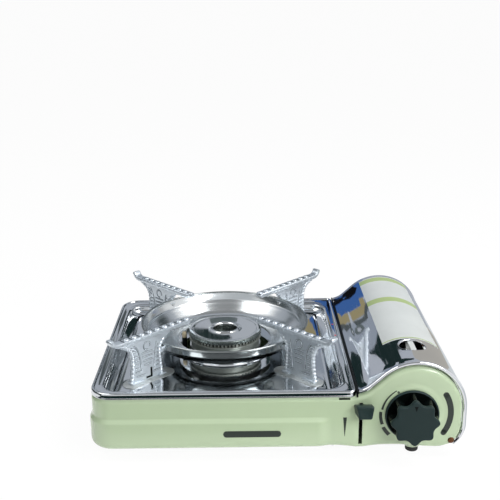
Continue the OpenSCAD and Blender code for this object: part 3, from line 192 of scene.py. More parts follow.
def make(name, sheet, finishes, body, replaces=(), sharp=35, thick=0, origin=(0, 0, 0), weld=True):
    """Turns a Sheet into a piece that rides on a CAD body."""
    mesh = bpy.data.meshes.new(name)
    base = Vector(origin)
    mesh.from_pydata([(Vector(p) - base) * MM for p in sheet.points], [], sheet.faces)
    for m in finishes:
        mesh.materials.append(m)
    mesh.polygons.foreach_set("material_index", sheet.finish)
    b = bmesh.new()
    b.from_mesh(mesh)
    if weld:
        bmesh.ops.remove_doubles(b, verts=b.verts, dist=2e-5)
    bmesh.ops.recalc_face_normals(b, faces=b.faces)
    bmesh.ops.triangulate(b, faces=[f for f in b.faces if len(f.verts) > 30], ngon_method="BEAUTY")
    b.to_mesh(mesh)
    b.free()
    mesh.shade_smooth()
    mesh.set_sharp_from_angle(angle=math.radians(sharp))
    if thick:
        # sharp at the sheet's edges, so that the rim of the thickness doesn't bend the shading
        b = bmesh.new()
        b.from_mesh(mesh)
        for edge in b.edges:
            edge.smooth = edge.smooth and not edge.is_boundary
        b.to_mesh(mesh)
        b.free()
    piece = new_object(name, mesh)
    piece.location = base * MM
    if thick:
        wall = piece.modifiers.new("sheet thickness", "SOLIDIFY")
        wall.thickness = thick * MM
        wall.offset = -1
        wall.use_even_offset = False
    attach(piece, body)
    if replaces:
        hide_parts(*replaces)
    return piece


# ---- finishes ----

def linear(colour):
    """Linear values of a colour given as 0 to 255 values."""
    shares = [c / 255 for c in colour]
    return [c / 12.92 if c <= 0.04045 else ((c + 0.055) / 1.055) ** 2.4 for c in shares]


def add_node(tree, kind, links=(), **settings):
    """A new node; each setting names a socket, with _ for a space, or else a property."""
    n = tree.nodes.new(kind)
    for key, value in settings.items():
        socket = key.replace("_", " ")
        if socket in n.inputs:
            n.inputs[socket].default_value = value
        else:
            setattr(n, key, value)
    for key, source in dict(links).items():
        tree.links.new(source, n.inputs[key])
    return n


GROUPS = {}


class Group:
    """A shader node group under construction, with number sockets and object coordinates."""

    def __init__(self, name, inputs, outputs):
        self.tree = GROUPS[name] = bpy.data.node_groups.new(name, "ShaderNodeTree")
        for label, value in inputs.items():
            socket = self.tree.interface.new_socket(label, in_out="INPUT", socket_type="NodeSocketFloat")
            socket.default_value = value
        for label in outputs:
            self.tree.interface.new_socket(label, in_out="OUTPUT", socket_type="NodeSocketFloat")
        self.node = functools.partial(add_node, self.tree)
        self.given = self.node("NodeGroupInput").outputs
        self.end = self.node("NodeGroupOutput")
        self.place = self.node("ShaderNodeTexCoord").outputs["Object"]

    def maths(self, how, a, b):
        """The sum, product and so on of a socket and a second socket or number."""
        n = self.node("ShaderNodeMath", {0: a}, operation=how)
        if isinstance(b, float):
            n.inputs[1].default_value = b
        else:
            self.tree.links.new(b, n.inputs[1])
        return n.outputs[0]

    def noise(self, place, scale, detail, **more):
        """Noise whose scale is the group input of that name."""
        links = {"Vector": place, "Scale": self.given[scale]}
        return self.node("ShaderNodeTexNoise", links, Detail=detail, **more).outputs[0]

    def mask(self, source, low, high):
        """0 to 1 where source goes from low to high."""
        return self.node("ShaderNodeMapRange", {"Value": source}, From_Min=low, From_Max=high).outputs[0]

    def out(self, **sources):
        for label, source in sources.items():
            self.tree.links.new(source, self.end.inputs[label])


def build_groups():
    # slow drift of tone over a sheet, around 1
    k = Group("tone drift", {"Size": 30.0, "Amount": 0.05}, ["Tone"])
    centred = k.maths("SUBTRACT", k.noise(k.place, "Size", 3.0, Roughness=0.55), 0.5)
    scaled = k.maths("MULTIPLY", centred, k.given["Amount"])
    k.out(Tone=k.maths("ADD", k.maths("MULTIPLY", scaled, 2.0), 1.0))
    # fine straight scratches along y
    k = Group("polish scratches", {"Fine": 900.0, "Stretch": 0.02}, ["Mask", "Height"])
    size = k.node("ShaderNodeCombineXYZ", {"Y": k.given["Stretch"]}, X=1.0, Z=1.0)
    squeezed = k.node("ShaderNodeVectorMath", {0: k.place, 1: size.outputs[0]}, operation="MULTIPLY")
    n = k.noise(squeezed.outputs[0], "Fine", 4.0)
    k.out(Mask=k.mask(n, 0.35, 0.7), Height=n)
    # turning lines round the vertical axis of the piece
    k = Group("turning lines", {"Pitch": 600.0}, ["Mask", "Height"])
    parts = k.node("ShaderNodeSeparateXYZ", {"Vector": k.place}).outputs
    flat = k.node("ShaderNodeCombineXYZ", {"X": parts["X"], "Y": parts["Y"]})
    reach = k.node("ShaderNodeVectorMath", {0: flat.outputs[0]}, operation="LENGTH")
    line = k.node("ShaderNodeCombineXYZ", {"X": reach.outputs["Value"], "Y": parts["Z"]})
    n = k.noise(line.outputs[0], "Pitch", 3.0)
    k.out(Mask=k.mask(n, 0.3, 0.7), Height=n)
    # skin of a casting: fine grain over soft lumps
    k = Group("cast skin", {"Grain": 1400.0, "Lumps": 180.0}, ["Height", "Mask"])
    fine, soft = k.noise(k.place, "Grain", 4.0), k.noise(k.place, "Lumps", 2.0)
    k.out(Height=k.maths("ADD", k.maths("MULTIPLY", fine, 0.4), soft), Mask=fine)
    # orange peel of sprayed enamel, or the moulded grain of plastic
    k = Group("skin pebble", {"Scale": 700.0}, ["Height"])
    n = k.node("ShaderNodeTexVoronoi", {"Vector": k.place, "Scale": k.given["Scale"]}, feature="SMOOTH_F1")
    k.out(Height=n.outputs["Distance"])


build_groups()


class Finish:
    """A material with a Principled surface whose tone drifts slowly over the piece."""

    def __init__(self, name, colour, metal, rough, drift_size, drift, **more):
        self.material = bpy.data.materials.new(name)
        self.material.use_nodes = True
        self.tree = self.material.node_tree
        self.node = functools.partial(add_node, self.tree)
        self.surface = self.tree.nodes["Principled BSDF"]
        colour = linear(colour)
        for key, value in {"Base Color": (*colour, 1), "Metallic": metal, "Roughness": rough, **more}.items():
            self.surface.inputs[key.replace("_", " ")].default_value = value
        tone = self.node("ShaderNodeGroup", node_tree=GROUPS["tone drift"], Size=drift_size, Amount=drift)
        tint = self.node("ShaderNodeVectorMath", {"Scale": tone.outputs[0]}, operation="SCALE", Vector=colour)
        self.link(tint, "Base Color")

    def link(self, node, socket):
        self.tree.links.new(node.outputs[0], self.surface.inputs[socket])

    def skin(self, which, strength, depth_mm, wear=None, over=None, **values):
        """Bump by a node group, over another bump, and roughness between the two ends of wear by its mask."""
        marks = self.node("ShaderNodeGroup", node_tree=GROUPS[which], **values).outputs
        if wear:
            rough = self.node("ShaderNodeMapRange", {"Value": marks["Mask"]}, To_Min=wear[0], To_Max=wear[1])
            self.link(rough, "Roughness")
        links = {"Height": marks["Height"], **({"Normal": over.outputs[0]} if over else {})}
        bump = self.node("ShaderNodeBump", links, Strength=strength, Distance=depth_mm * MM)
        self.link(bump, "Normal")
        return bump


def pale_enamel():
    f = Finish("pale green enamel", (186, 205, 170), 0, 0.26, 14.0, 0.02, Coat_Weight=0.6, Coat_Roughness=0.05)
    f.skin("skin pebble", 0.06, 0.2, Scale=420.0)
    return f.material


def polished(name, colour, low, high, ripple):
    f = Finish(name, colour, 1, low, 25.0, 0.03)
    waves = f.skin("cast skin", ripple, 1.2, Grain=60.0, Lumps=16.0)
    f.skin("polish scratches", 0.03, 0.05, (low, high), waves, Fine=700.0, Stretch=0.03)
    return f.material


def spun():
    f = Finish("spun bowl steel", (208, 212, 214), 1, 0.17, 18.0, 0.03, Anisotropic=0.6)
    f.skin("turning lines", 0.015, 0.05, (0.14, 0.21), Pitch=420.0)
    f.link(f.node("ShaderNodeTangent", direction_type="RADIAL", axis="Z"), "Tangent")
    return f.material


def cast(name, colour, rough, metal=0.9, grain=0.25, fine=1400.0, lumps=180.0, blotch=0.06, spread=60.0):
    f = Finish(name, colour, metal, rough, spread, blotch)
    f.skin("cast skin", grain, 0.25, (rough - 0.08, rough + 0.12), Grain=fine, Lumps=lumps)
    return f.material


def moulded(name, colour, rough, pebble=0.15, shine=0.5):
    f = Finish(name, colour, 0, rough, 40.0, 0.08, Specular_IOR_Level=shine)
    f.skin("skin pebble", pebble, 0.1, Scale=1600.0)
    return f.material


def plated(name, colour, rough):
    f = Finish(name, colour, 0.95, rough, 35.0, 0.08)
    f.skin("polish scratches", 0.08, 0.08, (rough - 0.06, rough + 0.1), Fine=500.0, Stretch=0.2)
    return f.material


enamel = pale_enamel()
tray_steel = polished("polished tray steel", (214, 217, 220), 0.05, 0.12, 0.1)
satin_steel = plated("satin steel of the leg pads", (186, 190, 190), 0.5)
lid_steel = polished("polished lid steel", (222, 224, 228), 0.03, 0.08, 0.05)
bowl_steel = spun()
cap_steel = polished("burner cap steel", (222, 224, 225), 0.05, 0.1, 0.01)
# a darker copy of the bowl steel for its outside and bead: painted shade under the lip
bowl_outside_shade = polished("bowl outside steel painted darker", (160, 165, 165), 0.09, 0.15, 0.02)
# a darker copy of the cap steel for its side, rounded edge and bore: painted shade that dims their reflections
cap_side_shade = plated("burner cap steel painted darker", (112, 120, 118), 0.24)
leg_zinc = cast("cast zinc of the legs", (211, 219, 226), 0.3, 0.8, 0.4, 800.0, 300.0, 0.14, 190.0)
# darker zinc for the bands round the web's lines and the gaps between the beads: painted shade
leg_hollow_shade = cast("painted shade of the leg's hollows", (88, 97, 104), 0.45, 0.5, 0.12)
knob_plastic = moulded("knob plastic", (28, 45, 45), 0.5, shine=0.22)
# the knob's own plastic, darker, for the skirt face and the rear of the grip: painted shade in the flutes
flute_shade_plastic = moulded("knob plastic painted dark in its flutes", (8, 14, 13), 0.25, shine=0.25)
lever_plastic = moulded("lever plastic", (32, 50, 49), 0.34, shine=0.3)
sheet_plate = plated("zinc plated sheet", (178, 182, 184), 0.34)
black_sheet = plated("blackened sheet", (26, 30, 30), 0.42)
ceramic = moulded("glazed ceramic", (176, 164, 138), 0.2, 0.05)
ink = moulded("printed black", (38, 48, 42), 0.4, 0.02)
red_ink = moulded("printed red", (196, 38, 52), 0.4, 0.02)
label_paper = moulded("label grey", (208, 213, 212), 0.4, 0.04)
label_green = moulded("label green", (168, 188, 124), 0.4, 0.04)

SLOT_FINISH = {
    "painted_shell": enamel, "mirror_steel": tray_steel, "spun_steel": bowl_steel, "plated_sheet": sheet_plate,
    "dark_sheet": black_sheet, "dark_plastic": knob_plastic, "ceramic": ceramic,
    "zinc_casting": cast("valve casting", (176, 176, 172), 0.5),
    "burner_alloy": cast("burner alloy", (150, 154, 148), 0.42),
    "brass": plated("nozzle brass", (200, 165, 92), 0.3),
    "copper_pin": plated("copper washed pin", (104, 70, 48), 0.5),
    "black_rubber": moulded("foot rubber", (26, 28, 28), 0.75, 0.3),
    "wire_sleeve": moulded("glass sleeve of the wire", (196, 194, 184), 0.8, 0.4),
}
NODE_FINISH = {
    "burner_cap": cap_steel, "lid": lid_steel, "lever_button": lever_plastic,
    "burner_core": plated("burner core steel", (112, 116, 114), 0.3),
    "burner_body": cast("burner body iron", (128, 133, 127), 0.4),
    **{"leg_" + name: leg_zinc for name in LEGS},
}


def dress_nodes():
    """Gives every carried-over CAD node the finish of its slot."""
    for part in frame["record"]["subparts"]:
        obj = frame["nodes"].get(part["node"])
        if obj is None:
            continue
        chosen = NODE_FINISH.get(part["node"], SLOT_FINISH[part["material_slot"]])
        if not obj.material_slots:
            obj.data.materials.append(chosen)
        for s in obj.material_slots:
            s.material = chosen


dress_nodes()


# ---- shell ----

TUCK = 11  # points of the wall's section that tuck under the rim
EDGE_LOW, EDGE_TOP = BASE + 7.8, SKIRT - 5.1  # the end walls share the wall's corners between these


def wall_profile(out):
    """Section of the side wall from under the rim down to the bottom flange, as (outward, height)."""
    upper = fillet([(-1.8, SEAT, 0), (-1.8, SKIRT, 0.6), (0, 58.2, 1.0), (0, 41.9, 0.9), (out, 38.3, 1.0),
                    (out, 20, 0)])
    return (upper[:TUCK] + [(0, EDGE_TOP)] + upper[TUCK:] + [(out, EDGE_LOW)]
            + arc(out - 7, BASE + 7, 7, 0, -90, 8) + [(-12, BASE)])


def shell_path():
    """Base points, outward normals and band reach from the front right round to the rear right."""
    path = [(JOIN_X - 2 * i, FACE, 0, -1, BAND * ease((i - 1) / 7)) for i in range(9)]
    path.append((-60, FACE, 0, -1, BAND))
    for cy, a0 in ((FACE + CORNER, 270), (REAR - CORNER, 180)):
        for nx, ny in arc(0, 0, 1, a0, a0 - 90, 14):
            path.append((LEFT + CORNER + CORNER * nx, cy + CORNER * ny, nx, ny, BAND))
    path.append((-60, REAR, 0, 1, BAND))
    return path + [(JOIN_X - 16 + 2 * i, REAR, 0, 1, BAND * ease(1 - i / 7)) for i in range(9)]


def end_outline():
    """Outline of an end wall from the left top round the arch to the left bottom.

    Each sample holds place, outward normal, the share of arch rolling and the roll's radius."""
    out = []
    for i in range(11):
        x = JOIN_X + (WAIST_X - JOIN_X) * i / 10
        w = ease((x - 62) / 16)
        out.append((x, SKIRT + (RIM - INSET - SKIRT) * w, 0, 1, w, 5.0))
    for nx, nz in arc(0, 0, 1, -90, -90 + SLOPE, 12)[1:]:
        r = WAIST_R + INSET
        out.append((WAIST_X + r * nx, WAIST_Z + r * nz, -nx, -nz, 1, 5.0))
    for i, (nx, nz) in enumerate(arc(0, 0, 1, 90 + SLOPE, 0, 40)):
        r = CROWN_R - INSET
        turn = (90 + SLOPE) * (1 - i / 40)
        out.append((CAN_X + r * nx, CAN_Z + r * nz, nx, nz, 1, 5.0 - 2.8 * ease((45 - turn) / 45)))
    for i, (nx, nz) in enumerate(arc(0, 0, 1, 0, -90, 14)):
        # a slight lift covers the hinge ear
        r = LOW_R - INSET + 1.5 * math.exp(-((90 * i / 14 - 50) / 9) ** 2)
        out.append((LOW_X + r * nx, LOW_Z + r * nz, nx, nz, 1, 2.2 - 1.2 * ease(i / 7)))
    for i in range(1, 15):
        x = LOW_X - (LOW_X - JOIN_X) * i / 14
        # the bottom edge is sharper under the lever slot
        tight = 4.8 * math.exp(-((x - 75) / 12) ** 2) if i < 14 else 0
        out.append((x, BASE, 0, -1, 1, 1.0 + 6.0 * ease((LOW_X - x) / 40) - tight))
    return out


def end_face(sheet, y0, into, slot):
    """Face of an end wall at y0 with its rolled border; into is +1 or -1, the way the roll goes."""
    profile = wall_profile(0)
    tuck = [(SKIRT - z, -u) for u, z in reversed(profile[:TUCK])]
    loops = []
    for x, z, nx, nz, w, r in end_outline():
        # the roll is shallow at the hinge ear, where the open lid comes close
        ear = ease((x - 144) / 7) * ease((34 - z) / 8)
        roll = [(r * (1 - sind(11.25 * i)), r * (1 - cosd(11.25 * i))) for i in range(9)]
        roll += [(0, r + 1.5 - 1.45 * ear), (0, max(r + 3, 8) * (1 - ear) + (r + 0.1) * ear)]
        pairs = [(a[0] * (1 - w) + b[0] * w, a[1] * (1 - w) + b[1] * w) for a, b in zip(tuck, roll)]
        pairs = [(pairs[0][0] + 0.8, 0)] + pairs
        loops.append([(x - nx * k, y0 + into * y, z - nz * k) for k, y in pairs])
    sheet.strip(loops)
    # the wall's own corners close the left edge, so that both share them
    ring = [loop[0] for loop in loops] + [(JOIN_X, y0, z) for _, z in reversed(profile[TUCK + 1:])
                                          if EDGE_LOW + 0.1 < z < EDGE_TOP - 0.1]
    if not slot:
        sheet.cap(ring)
        return
    lo, hi = BASE + 3.6, BASE + 45
    turn = max(range(len(ring)), key=lambda i: ring[i][0])
    cut_top = next(i for i in range(turn) if ring[i][0] > SLOT_X)
    cut_low = next(i for i in range(turn, len(ring)) if ring[i][0] < SLOT_X)

    def at_slot(a, b):
        t = (SLOT_X - a[0]) / (b[0] - a[0])
        return (SLOT_X, y0, a[2] + (b[2] - a[2]) * t)

    top = at_slot(ring[cut_top - 1], ring[cut_top])
    low = at_slot(ring[cut_low - 1], ring[cut_low])
    # one half of the face on either side of the slot
    left, right = ([(SLOT_X + reach, y0, z) for reach, z in ((0, hi), (half, hi), (half, lo), (0, lo))]
                   for half in (-SLOT_HALF, SLOT_HALF))
    sheet.cap(ring[:cut_top] + [top] + left + [low] + ring[cut_low:])
    sheet.cap([top] + ring[cut_top:cut_low] + [low] + right[::-1])


def build_shell():
    s = Sheet()
    s.strip([[(x + nx * u, y + ny * u, z) for u, z in wall_profile(out)] for x, y, nx, ny, out in shell_path()])
    end_face(s, FACE, 1, True)
    end_face(s, REAR, -1, False)
    # raised disc behind the knob
    disc = [(0, -1.2), (24, -1.2)] + [(24 + 6.5 * i / 10, -0.02 - 1.18 * (1 - ease(i / 10))) for i in range(1, 11)]
    s.turned(disc, (KNOB_X, FACE, KNOB_Z), axis="y")
    return make("shell_skin", s, [enamel], "stove", ("body_shell",), thick=0.9, sharp=50)


# ---- tray ----

def rounded_loop(x0, y0, x1, y1, rl, rr, z):
    """Closed loop round a rectangle with corner radii rl at the left and rr at the right."""
    side = 40
    corners = [arc(x1 - rr, y0 + rr, rr, -90, 0, 8), arc(x1 - rr, y1 - rr, rr, 0, 90, 8),
               arc(x0 + rl, y1 - rl, rl, 90, 180, 8), arc(x0 + rl, y0 + rl, rl, 180, 270, 8)]
    out = []
    for i, part in enumerate(corners):
        a, b = part[-1], corners[(i + 1) % 4][0]
        out += part + [(a[0] + (b[0] - a[0]) * k / side, a[1] + (b[1] - a[1]) * k / side) for k in range(1, side)]
    return [(x, y, z) for x, y in out]


def outer_ring(u, z):
    return rounded_loop(LEFT - u, FACE - u, TRAY_X1 + u, REAR + u, CORNER + u, 6 + u, z)


def basin_ring(u, z):
    return rounded_loop(LEFT + 8.5 - u, FACE + 7 - u, TRAY_X1 - 8.5 + u, REAR - 15 + u, 18 + u, 18 + u, z)


def pad_distance(x, y):
    """Distance outside the nearest leg pad, negative inside."""
    dx, dy = abs(x - BURNER[0]), abs(y - BURNER[1])
    along, across = (dx + dy) / math.sqrt(2), abs(dx - dy) / math.sqrt(2)
    return math.hypot(max(abs(along - PAD_AT) - 18, 0), across) - 9


def build_tray():
    s = Sheet()
    rim = [(-1.2, 62.4), (-1.0, 61.6), (-0.4, 61.5), (0.05, 61.8), (0.15, 62.3), (-0.1, 62.9), (-0.15, 64.5),
           (-0.1, 65.4), (-0.2, 66.1), (-0.5, 66.7), (-0.95, 67.15), (-1.5, 67.38), (-2.1, 67.3), (-2.6, 66.95),
           (-2.95, 66.4), (-3.3, 66.05), (-3.9, BORDER)]
    floor = (-16.5, 58.4)
    basin = ([(1.8, BORDER), (1.2, BORDER + 0.25), (0.7, BORDER + 0.3)] + arc(0, 63.3, 3.0, 80, 172, 6)
             + [(-3.6, 61.0)] + arc(-7.6, 60.4, 4.0, 180, 270, 6)[2:]
             + [(-10.2, 56.4), (-12.2, 57.2), (-14.2, 58.2), floor])
    s.strip([outer_ring(u, z) for u, z in rim] + [basin_ring(u, z) for u, z in basin], closed=True)
    # floor of the basin, from its edge to the burner hole, lifted at the pads
    hole, steps = 46.6, 44
    loops = []
    for i in range(steps + 1):
        loop = []
        for x, y, z in basin_ring(*floor):
            a = math.atan2(y - BURNER[1], x - BURNER[0])
            cx, cy = BURNER[0] + hole * math.cos(a), BURNER[1] + hole * math.sin(a)
            px, py = x + (cx - x) * i / steps, y + (cy - y) * i / steps
            lift = 0.8 * (1 - ease(pad_distance(px, py) / 2.4 + 0.5))
            loop.append((px, py, z + lift * ease(i / 2)))
        loops.append(loop)
    collar = [[(BURNER[0] + (x - BURNER[0]) * r / hole, BURNER[1] + (y - BURNER[1]) * r / hole, z)
               for x, y, _ in loops[-1]] for r, z in ((46.4, 58.9), (46.1, 60.4), (46.0, 58.2))]
    s.strip(loops + collar, closed=True)
    make("tray_skin", s, [tray_steel], "stove", ("drip_tray",), sharp=60)


def build_pads():
    """Satin plates on the tray that the four legs stand on."""
    s = Sheet()
    half = 20.0
    for turn in (45, 135, 225, 315):
        c, n = cosd(turn), sind(turn)
        loops = []
        for r, z in ((9.0, 58.6), (9.0, PAD_TOP - 0.12), (8.75, PAD_TOP)):
            flat = arc(PAD_AT + half, 0, r, -90, 90, 10) + arc(PAD_AT - half, 0, r, 90, 270, 10)
            loops.append([(BURNER[0] + x * c - y * n, BURNER[1] + x * n + y * c, z) for x, y in flat])
        s.strip(loops, closed=True)
        s.cap(loops[-1])
    make("leg_pads", s, [satin_steel], "stove", sharp=40)


# ---- lid ----

def crown_turn(x, k=LID_K):
    """Angle of the crown, moved inward by k, at x."""
    return math.degrees(math.acos((x - CAN_X) / (CROWN_R - k)))


def crown_height(x):
    return CAN_Z + math.sqrt((CROWN_R - LID_K) ** 2 - (x - CAN_X) ** 2)


def lid_outline(k):
    """Section of the lid, moved inward by k, and the index range of the window patch."""
    start = -90 + math.degrees(math.asin((HEM_X - WAIST_X) / (WAIST_R + k)))
    pts = arc(WAIST_X, WAIST_Z, WAIST_R + k, start, -90 + SLOPE, 14)
    a0, a1 = crown_turn(WINDOW_X - PATCH), crown_turn(WINDOW_X + PATCH)
    crown = [arc(CAN_X, CAN_Z, CROWN_R - k, *part) for part in ((90 + SLOPE, a0, 8), (a0, a1, 16), (a1, 0, 20))]
    first = len(pts) + 8
    pts += crown[0] + crown[1][1:] + crown[2][1:] + arc(LOW_X, LOW_Z, LOW_R - k, 0, -50.5, 14)
    return pts, first, first + 16


def lid_rows():
    """Rows of the lid from front to rear, as (inward, y), and the first row of the window patch."""
    nose = [(3.9, 2.6), (3.6, 1.3), (2.7, 0.45), (1.6, 0.1), (0.8, 0.3), (0.25, 0.9), (0.02, 1.8), (0.02, 3.0),
            (0.2, 3.8), (0.5, 4.3), (LID_K, 4.9)]
    front = [(k, FACE + y) for k, y in nose] + [(LID_K, -98.0)]
    middle = [WINDOW_Y - PATCH + 2 * PATCH * i / 16 for i in range(17)] + [-40.0, 0.0, 40.0, 80.0, 115.0]
    return front + [(LID_K, y) for y in middle] + [(k, REAR - y) for k, y in reversed(nose)], len(front)


def build_lid():
    s = Sheet()
    rows, lo = lid_rows()
    hi = lo + 16
    _, first, last = lid_outline(0)
    grid = [[(x, y, z) for x, z in lid_outline(k)[0]] for k, y in rows]
    m = len(grid[0])
    bead_low = 19.0
    faces = []
    for i in range(len(rows) - 1):
        for k in range(m - 1):
            if lo <= i < hi and first <= k < last:
                continue
            # the noses end above the hinge ears
            nose = not FACE + 1.3 < rows[i][1] < REAR - 1.9
            if nose and grid[i][k + 1][2] < bead_low and grid[i][k][0] > CAN_X:
                continue
            faces.append([i * m + k, i * m + k + 1, (i + 1) * m + k + 1, (i + 1) * m + k])
    s.add([p for row in grid for p in row], faces)
    # patch between the square of the grid and the round window, whose edge turns down
    border = ([grid[lo][k] for k in range(first, last)] + [grid[i][last] for i in range(lo, hi)]
              + [grid[hi][k] for k in range(last, first, -1)] + [grid[i][first] for i in range(hi, lo, -1)])
    edge = [(13.2, 0), (12.95, -0.03), (12.75, -0.16), (12.6, -0.42), (12.54, -0.8), (12.5, -1.3)]
    turns = [math.atan2(p[1] - WINDOW_Y, p[0] - WINDOW_X) for p in border]
    loops = [border]
    for t in (0.35, 0.7):
        loop = []
        for p, a in zip(border, turns):
            x = p[0] + (WINDOW_X + edge[0][0] * math.cos(a) - p[0]) * t
            y = p[1] + (WINDOW_Y + edge[0][0] * math.sin(a) - p[1]) * t
            loop.append((x, y, crown_height(x)))
        loops.append(loop)
    for r, drop in edge:
        loops.append([(WINDOW_X + r * math.cos(a), WINDOW_Y + r * math.sin(a),
                       crown_height(WINDOW_X + r * math.cos(a)) + drop) for a in turns])
    s.strip(loops, closed=True)
    make("lid_skin", s, [lid_steel], "canister_lid", ("lid",), thick=0.7, sharp=55)


def build_hinge():
    """Hinge knuckles, their tabs and the hem along the partition."""
    s = Sheet()
    long = 18
    for y in (FACE + 1.4, REAR - 1.4 - long):
        s.turned([(1.56, 0), (3.2, 0), (3.2, long), (1.56, long), (1.56, 0)], (HINGE_X, y, HINGE_Z), steps=32, axis="y")
        c, n = cosd(-50), sind(-50)
        pts = [(LOW_X + d * c - w * n, end, LOW_Z + d * n + w * c) for end in (y, y + long)
               for d, w in ((21.5, -0.8), (25.9, -0.8), (25.9, 0.8), (21.5, 0.8))]
        s.add(pts, [[0, 1, 2, 3], [4, 7, 6, 5], [0, 4, 5, 1], [1, 5, 6, 2], [2, 6, 7, 3], [3, 7, 4, 0]])
    s.block((HEM_X, FACE + 13, 63), (HEM_X + 1, REAR - 13, 67.0), 0.3)
    make("lid_hinge_and_hem", s, [sheet_plate], "canister_lid", sharp=40)


def build_sight_strip():
    """Pale strip over the canister collar, bent up from the bracket and seen through the window."""
    s = Sheet()
    line = fillet([(-54.6, 79.5, 0), (-54.0, 82.5, 1.5), (-47.5, 91.5, 1.6), (-70, 91.9, 2), (-93, 91.5, 0)], 4)
    for z_up in (0.0, 0.7):
        s.strip([[(x, y, z + z_up) for y, z in line] for x in (126.0, 131.0)])
    make("sight_strip", s, [label_paper], "stove", sharp=40, weld=False)


def build_label():
    """Plain instruction plate on the crown of the lid: a pale field with green bands, no words."""
    s = Sheet()
    cols = arc(CAN_X, CAN_Z, CROWN_R - 0.42, crown_turn(103, 0.4), crown_turn(156, 0.4), 24)
    bounds = (-58.0, -56.6, -54.6, 45, 58, 112, 124, 126)
    for i, (y0, y1) in enumerate(zip(bounds, bounds[1:])):
        s.strip([[(x, y, z) for x, z in cols] for y in (y0, y1)], finish=i % 2)
    make("lid_label", s, [label_paper, label_green], "canister_lid", thick=0.12, sharp=50)


# ---- bowl and burner ----

def build_bowl():
    s = Sheet()
    bead = arc(84.1, 89.75, 1.05, -50, 190, 12)
    inner = [bead[-1]] + fillet(
        [(82.9, 88.8, 0), (79.6, 82.2, 1.2), (78.2, 81.1, 1.2), (69.2, 72.0, 3.5), (64.5, 69.7, 3.5),
         (49.5, 69.7, 1.0), (48.2, 70.9, 0.5), (47.1, 70.9, 0.4), (47.1, 69.2, 0)], 5)
    outer = fillet([(47.1, 69.2, 0), (47.7, 68.8, 0.3), (64.5, 68.8, 3.5), (70.0, 71.8, 3.5), (79.2, 80.2, 1.2),
                    (80.7, 81.6, 1.2), (84.2, 88.2, 0)], 5)
    s.turned(inner, AXIS, steps=160)
    s.turned([inner[-1]] + outer + bead, AXIS, steps=160, finish=1)
    make("bowl_skin", s, [bowl_steel, bowl_outside_shade], "pan_support", ("wind_bowl",), origin=AXIS, sharp=60)


def build_cap():
    s = Sheet()
    side = [(13.0, 74.0), (13.0, 76.5), (36.9, 76.5), (37.2, 76.65), (37.3, 77.0), (37.3, 79.5), (37.15, 80.0),
            (36.8, 80.4), (36.3, 80.58)]
    top = fillet([(36.3, 80.58, 0), (33.0, 80.6, 0.8), (32.2, 80.3, 0.5), (17.2, 80.35, 1.5), (15.8, 81.1, 0.9),
                  (14.9, 81.95, 0.8), (13.2, 81.95, 0.9), (12.0, 80.7, 0.8), (12.0, 78.9, 0)], 4)
    s.turned(side, AXIS, steps=128, finish=1)
    s.turned(top, AXIS, steps=128)
    s.turned([top[-1], (12.0, 74.0), side[0]], AXIS, steps=128, finish=1)
    make("cap_skin", s, [cap_steel, cap_side_shade], "stove", ("burner_cap",), origin=AXIS, sharp=50)


def build_electrode():
    """Glazed insulator in its dark sleeve."""
    s = Sheet()
    at = (-90.9, BURNER[1], 0)
    s.turned([(0.85, 50.4), (2.6, 50.4), (2.6, 70.7), (2.35, 71.0)], at, steps=40, finish=1)
    s.turned([(2.35, 71.0), (2.5, 71.7), (2.45, 73.7), (1.9, 76.7), (1.6, 77.1), (0.85, 77.1)], at, steps=40)
    make("electrode_ceramic", s, [ceramic, black_sheet], "stove", ("electrode_insulator",))


# ---- legs ----

def leg_web(s):
    """Upright plate of a leg with its eased outline, and the roped bars along both edges."""
    left = [(85.6, 0, 0), (87.4, 20, 8), (87.0, 30, 6), (78.5, 37.5, 7), (72.0, 41.9, 0)]
    right = [(134.0, 41.9, 0), (123.5, 37.5, 8), (119.3, 29, 6), (119.6, 12, 6), (122.2, 0, 0)]
    outline = [(x, PAD_Z + z) for x, z in fillet(left, 5) + fillet(right, 5)]
    n = len(outline)
    s.add([(x, y, z) for y in (-1.7, 1.7) for x, z in outline],
          [list(range(n)), list(range(2 * n - 1, n - 1, -1))]
          + [[(i + 1) % n, i, n + i, n + (i + 1) % n] for i in range(n)])
    step, bead = 0.55, 3.3
    for path in ([(86.0, 1, 0), (87.8, 20, 8), (87.4, 30, 6), (80.5, 36.5, 0)],
                 [(121.8, 1, 0), (119.6, 12, 6), (119.3, 29, 6), (123.5, 37, 6), (133.5, 41.4, 0)]):
        line = [Vector((x, 0, PAD_Z + z)) for x, z in fillet(path, 8)]
        dense = []
        for a, c in zip(line, line[1:]):
            steps = max(int((c - a).length / step), 1)
            dense += [a.lerp(c, k / steps) for k in range(steps)]
        dense.append(line[-1])
        count = round(len(dense) * step / bead)
        s.rod(dense, lambda t, c=count: 2.3 + 0.3 * math.cos(2 * math.pi * c * t))


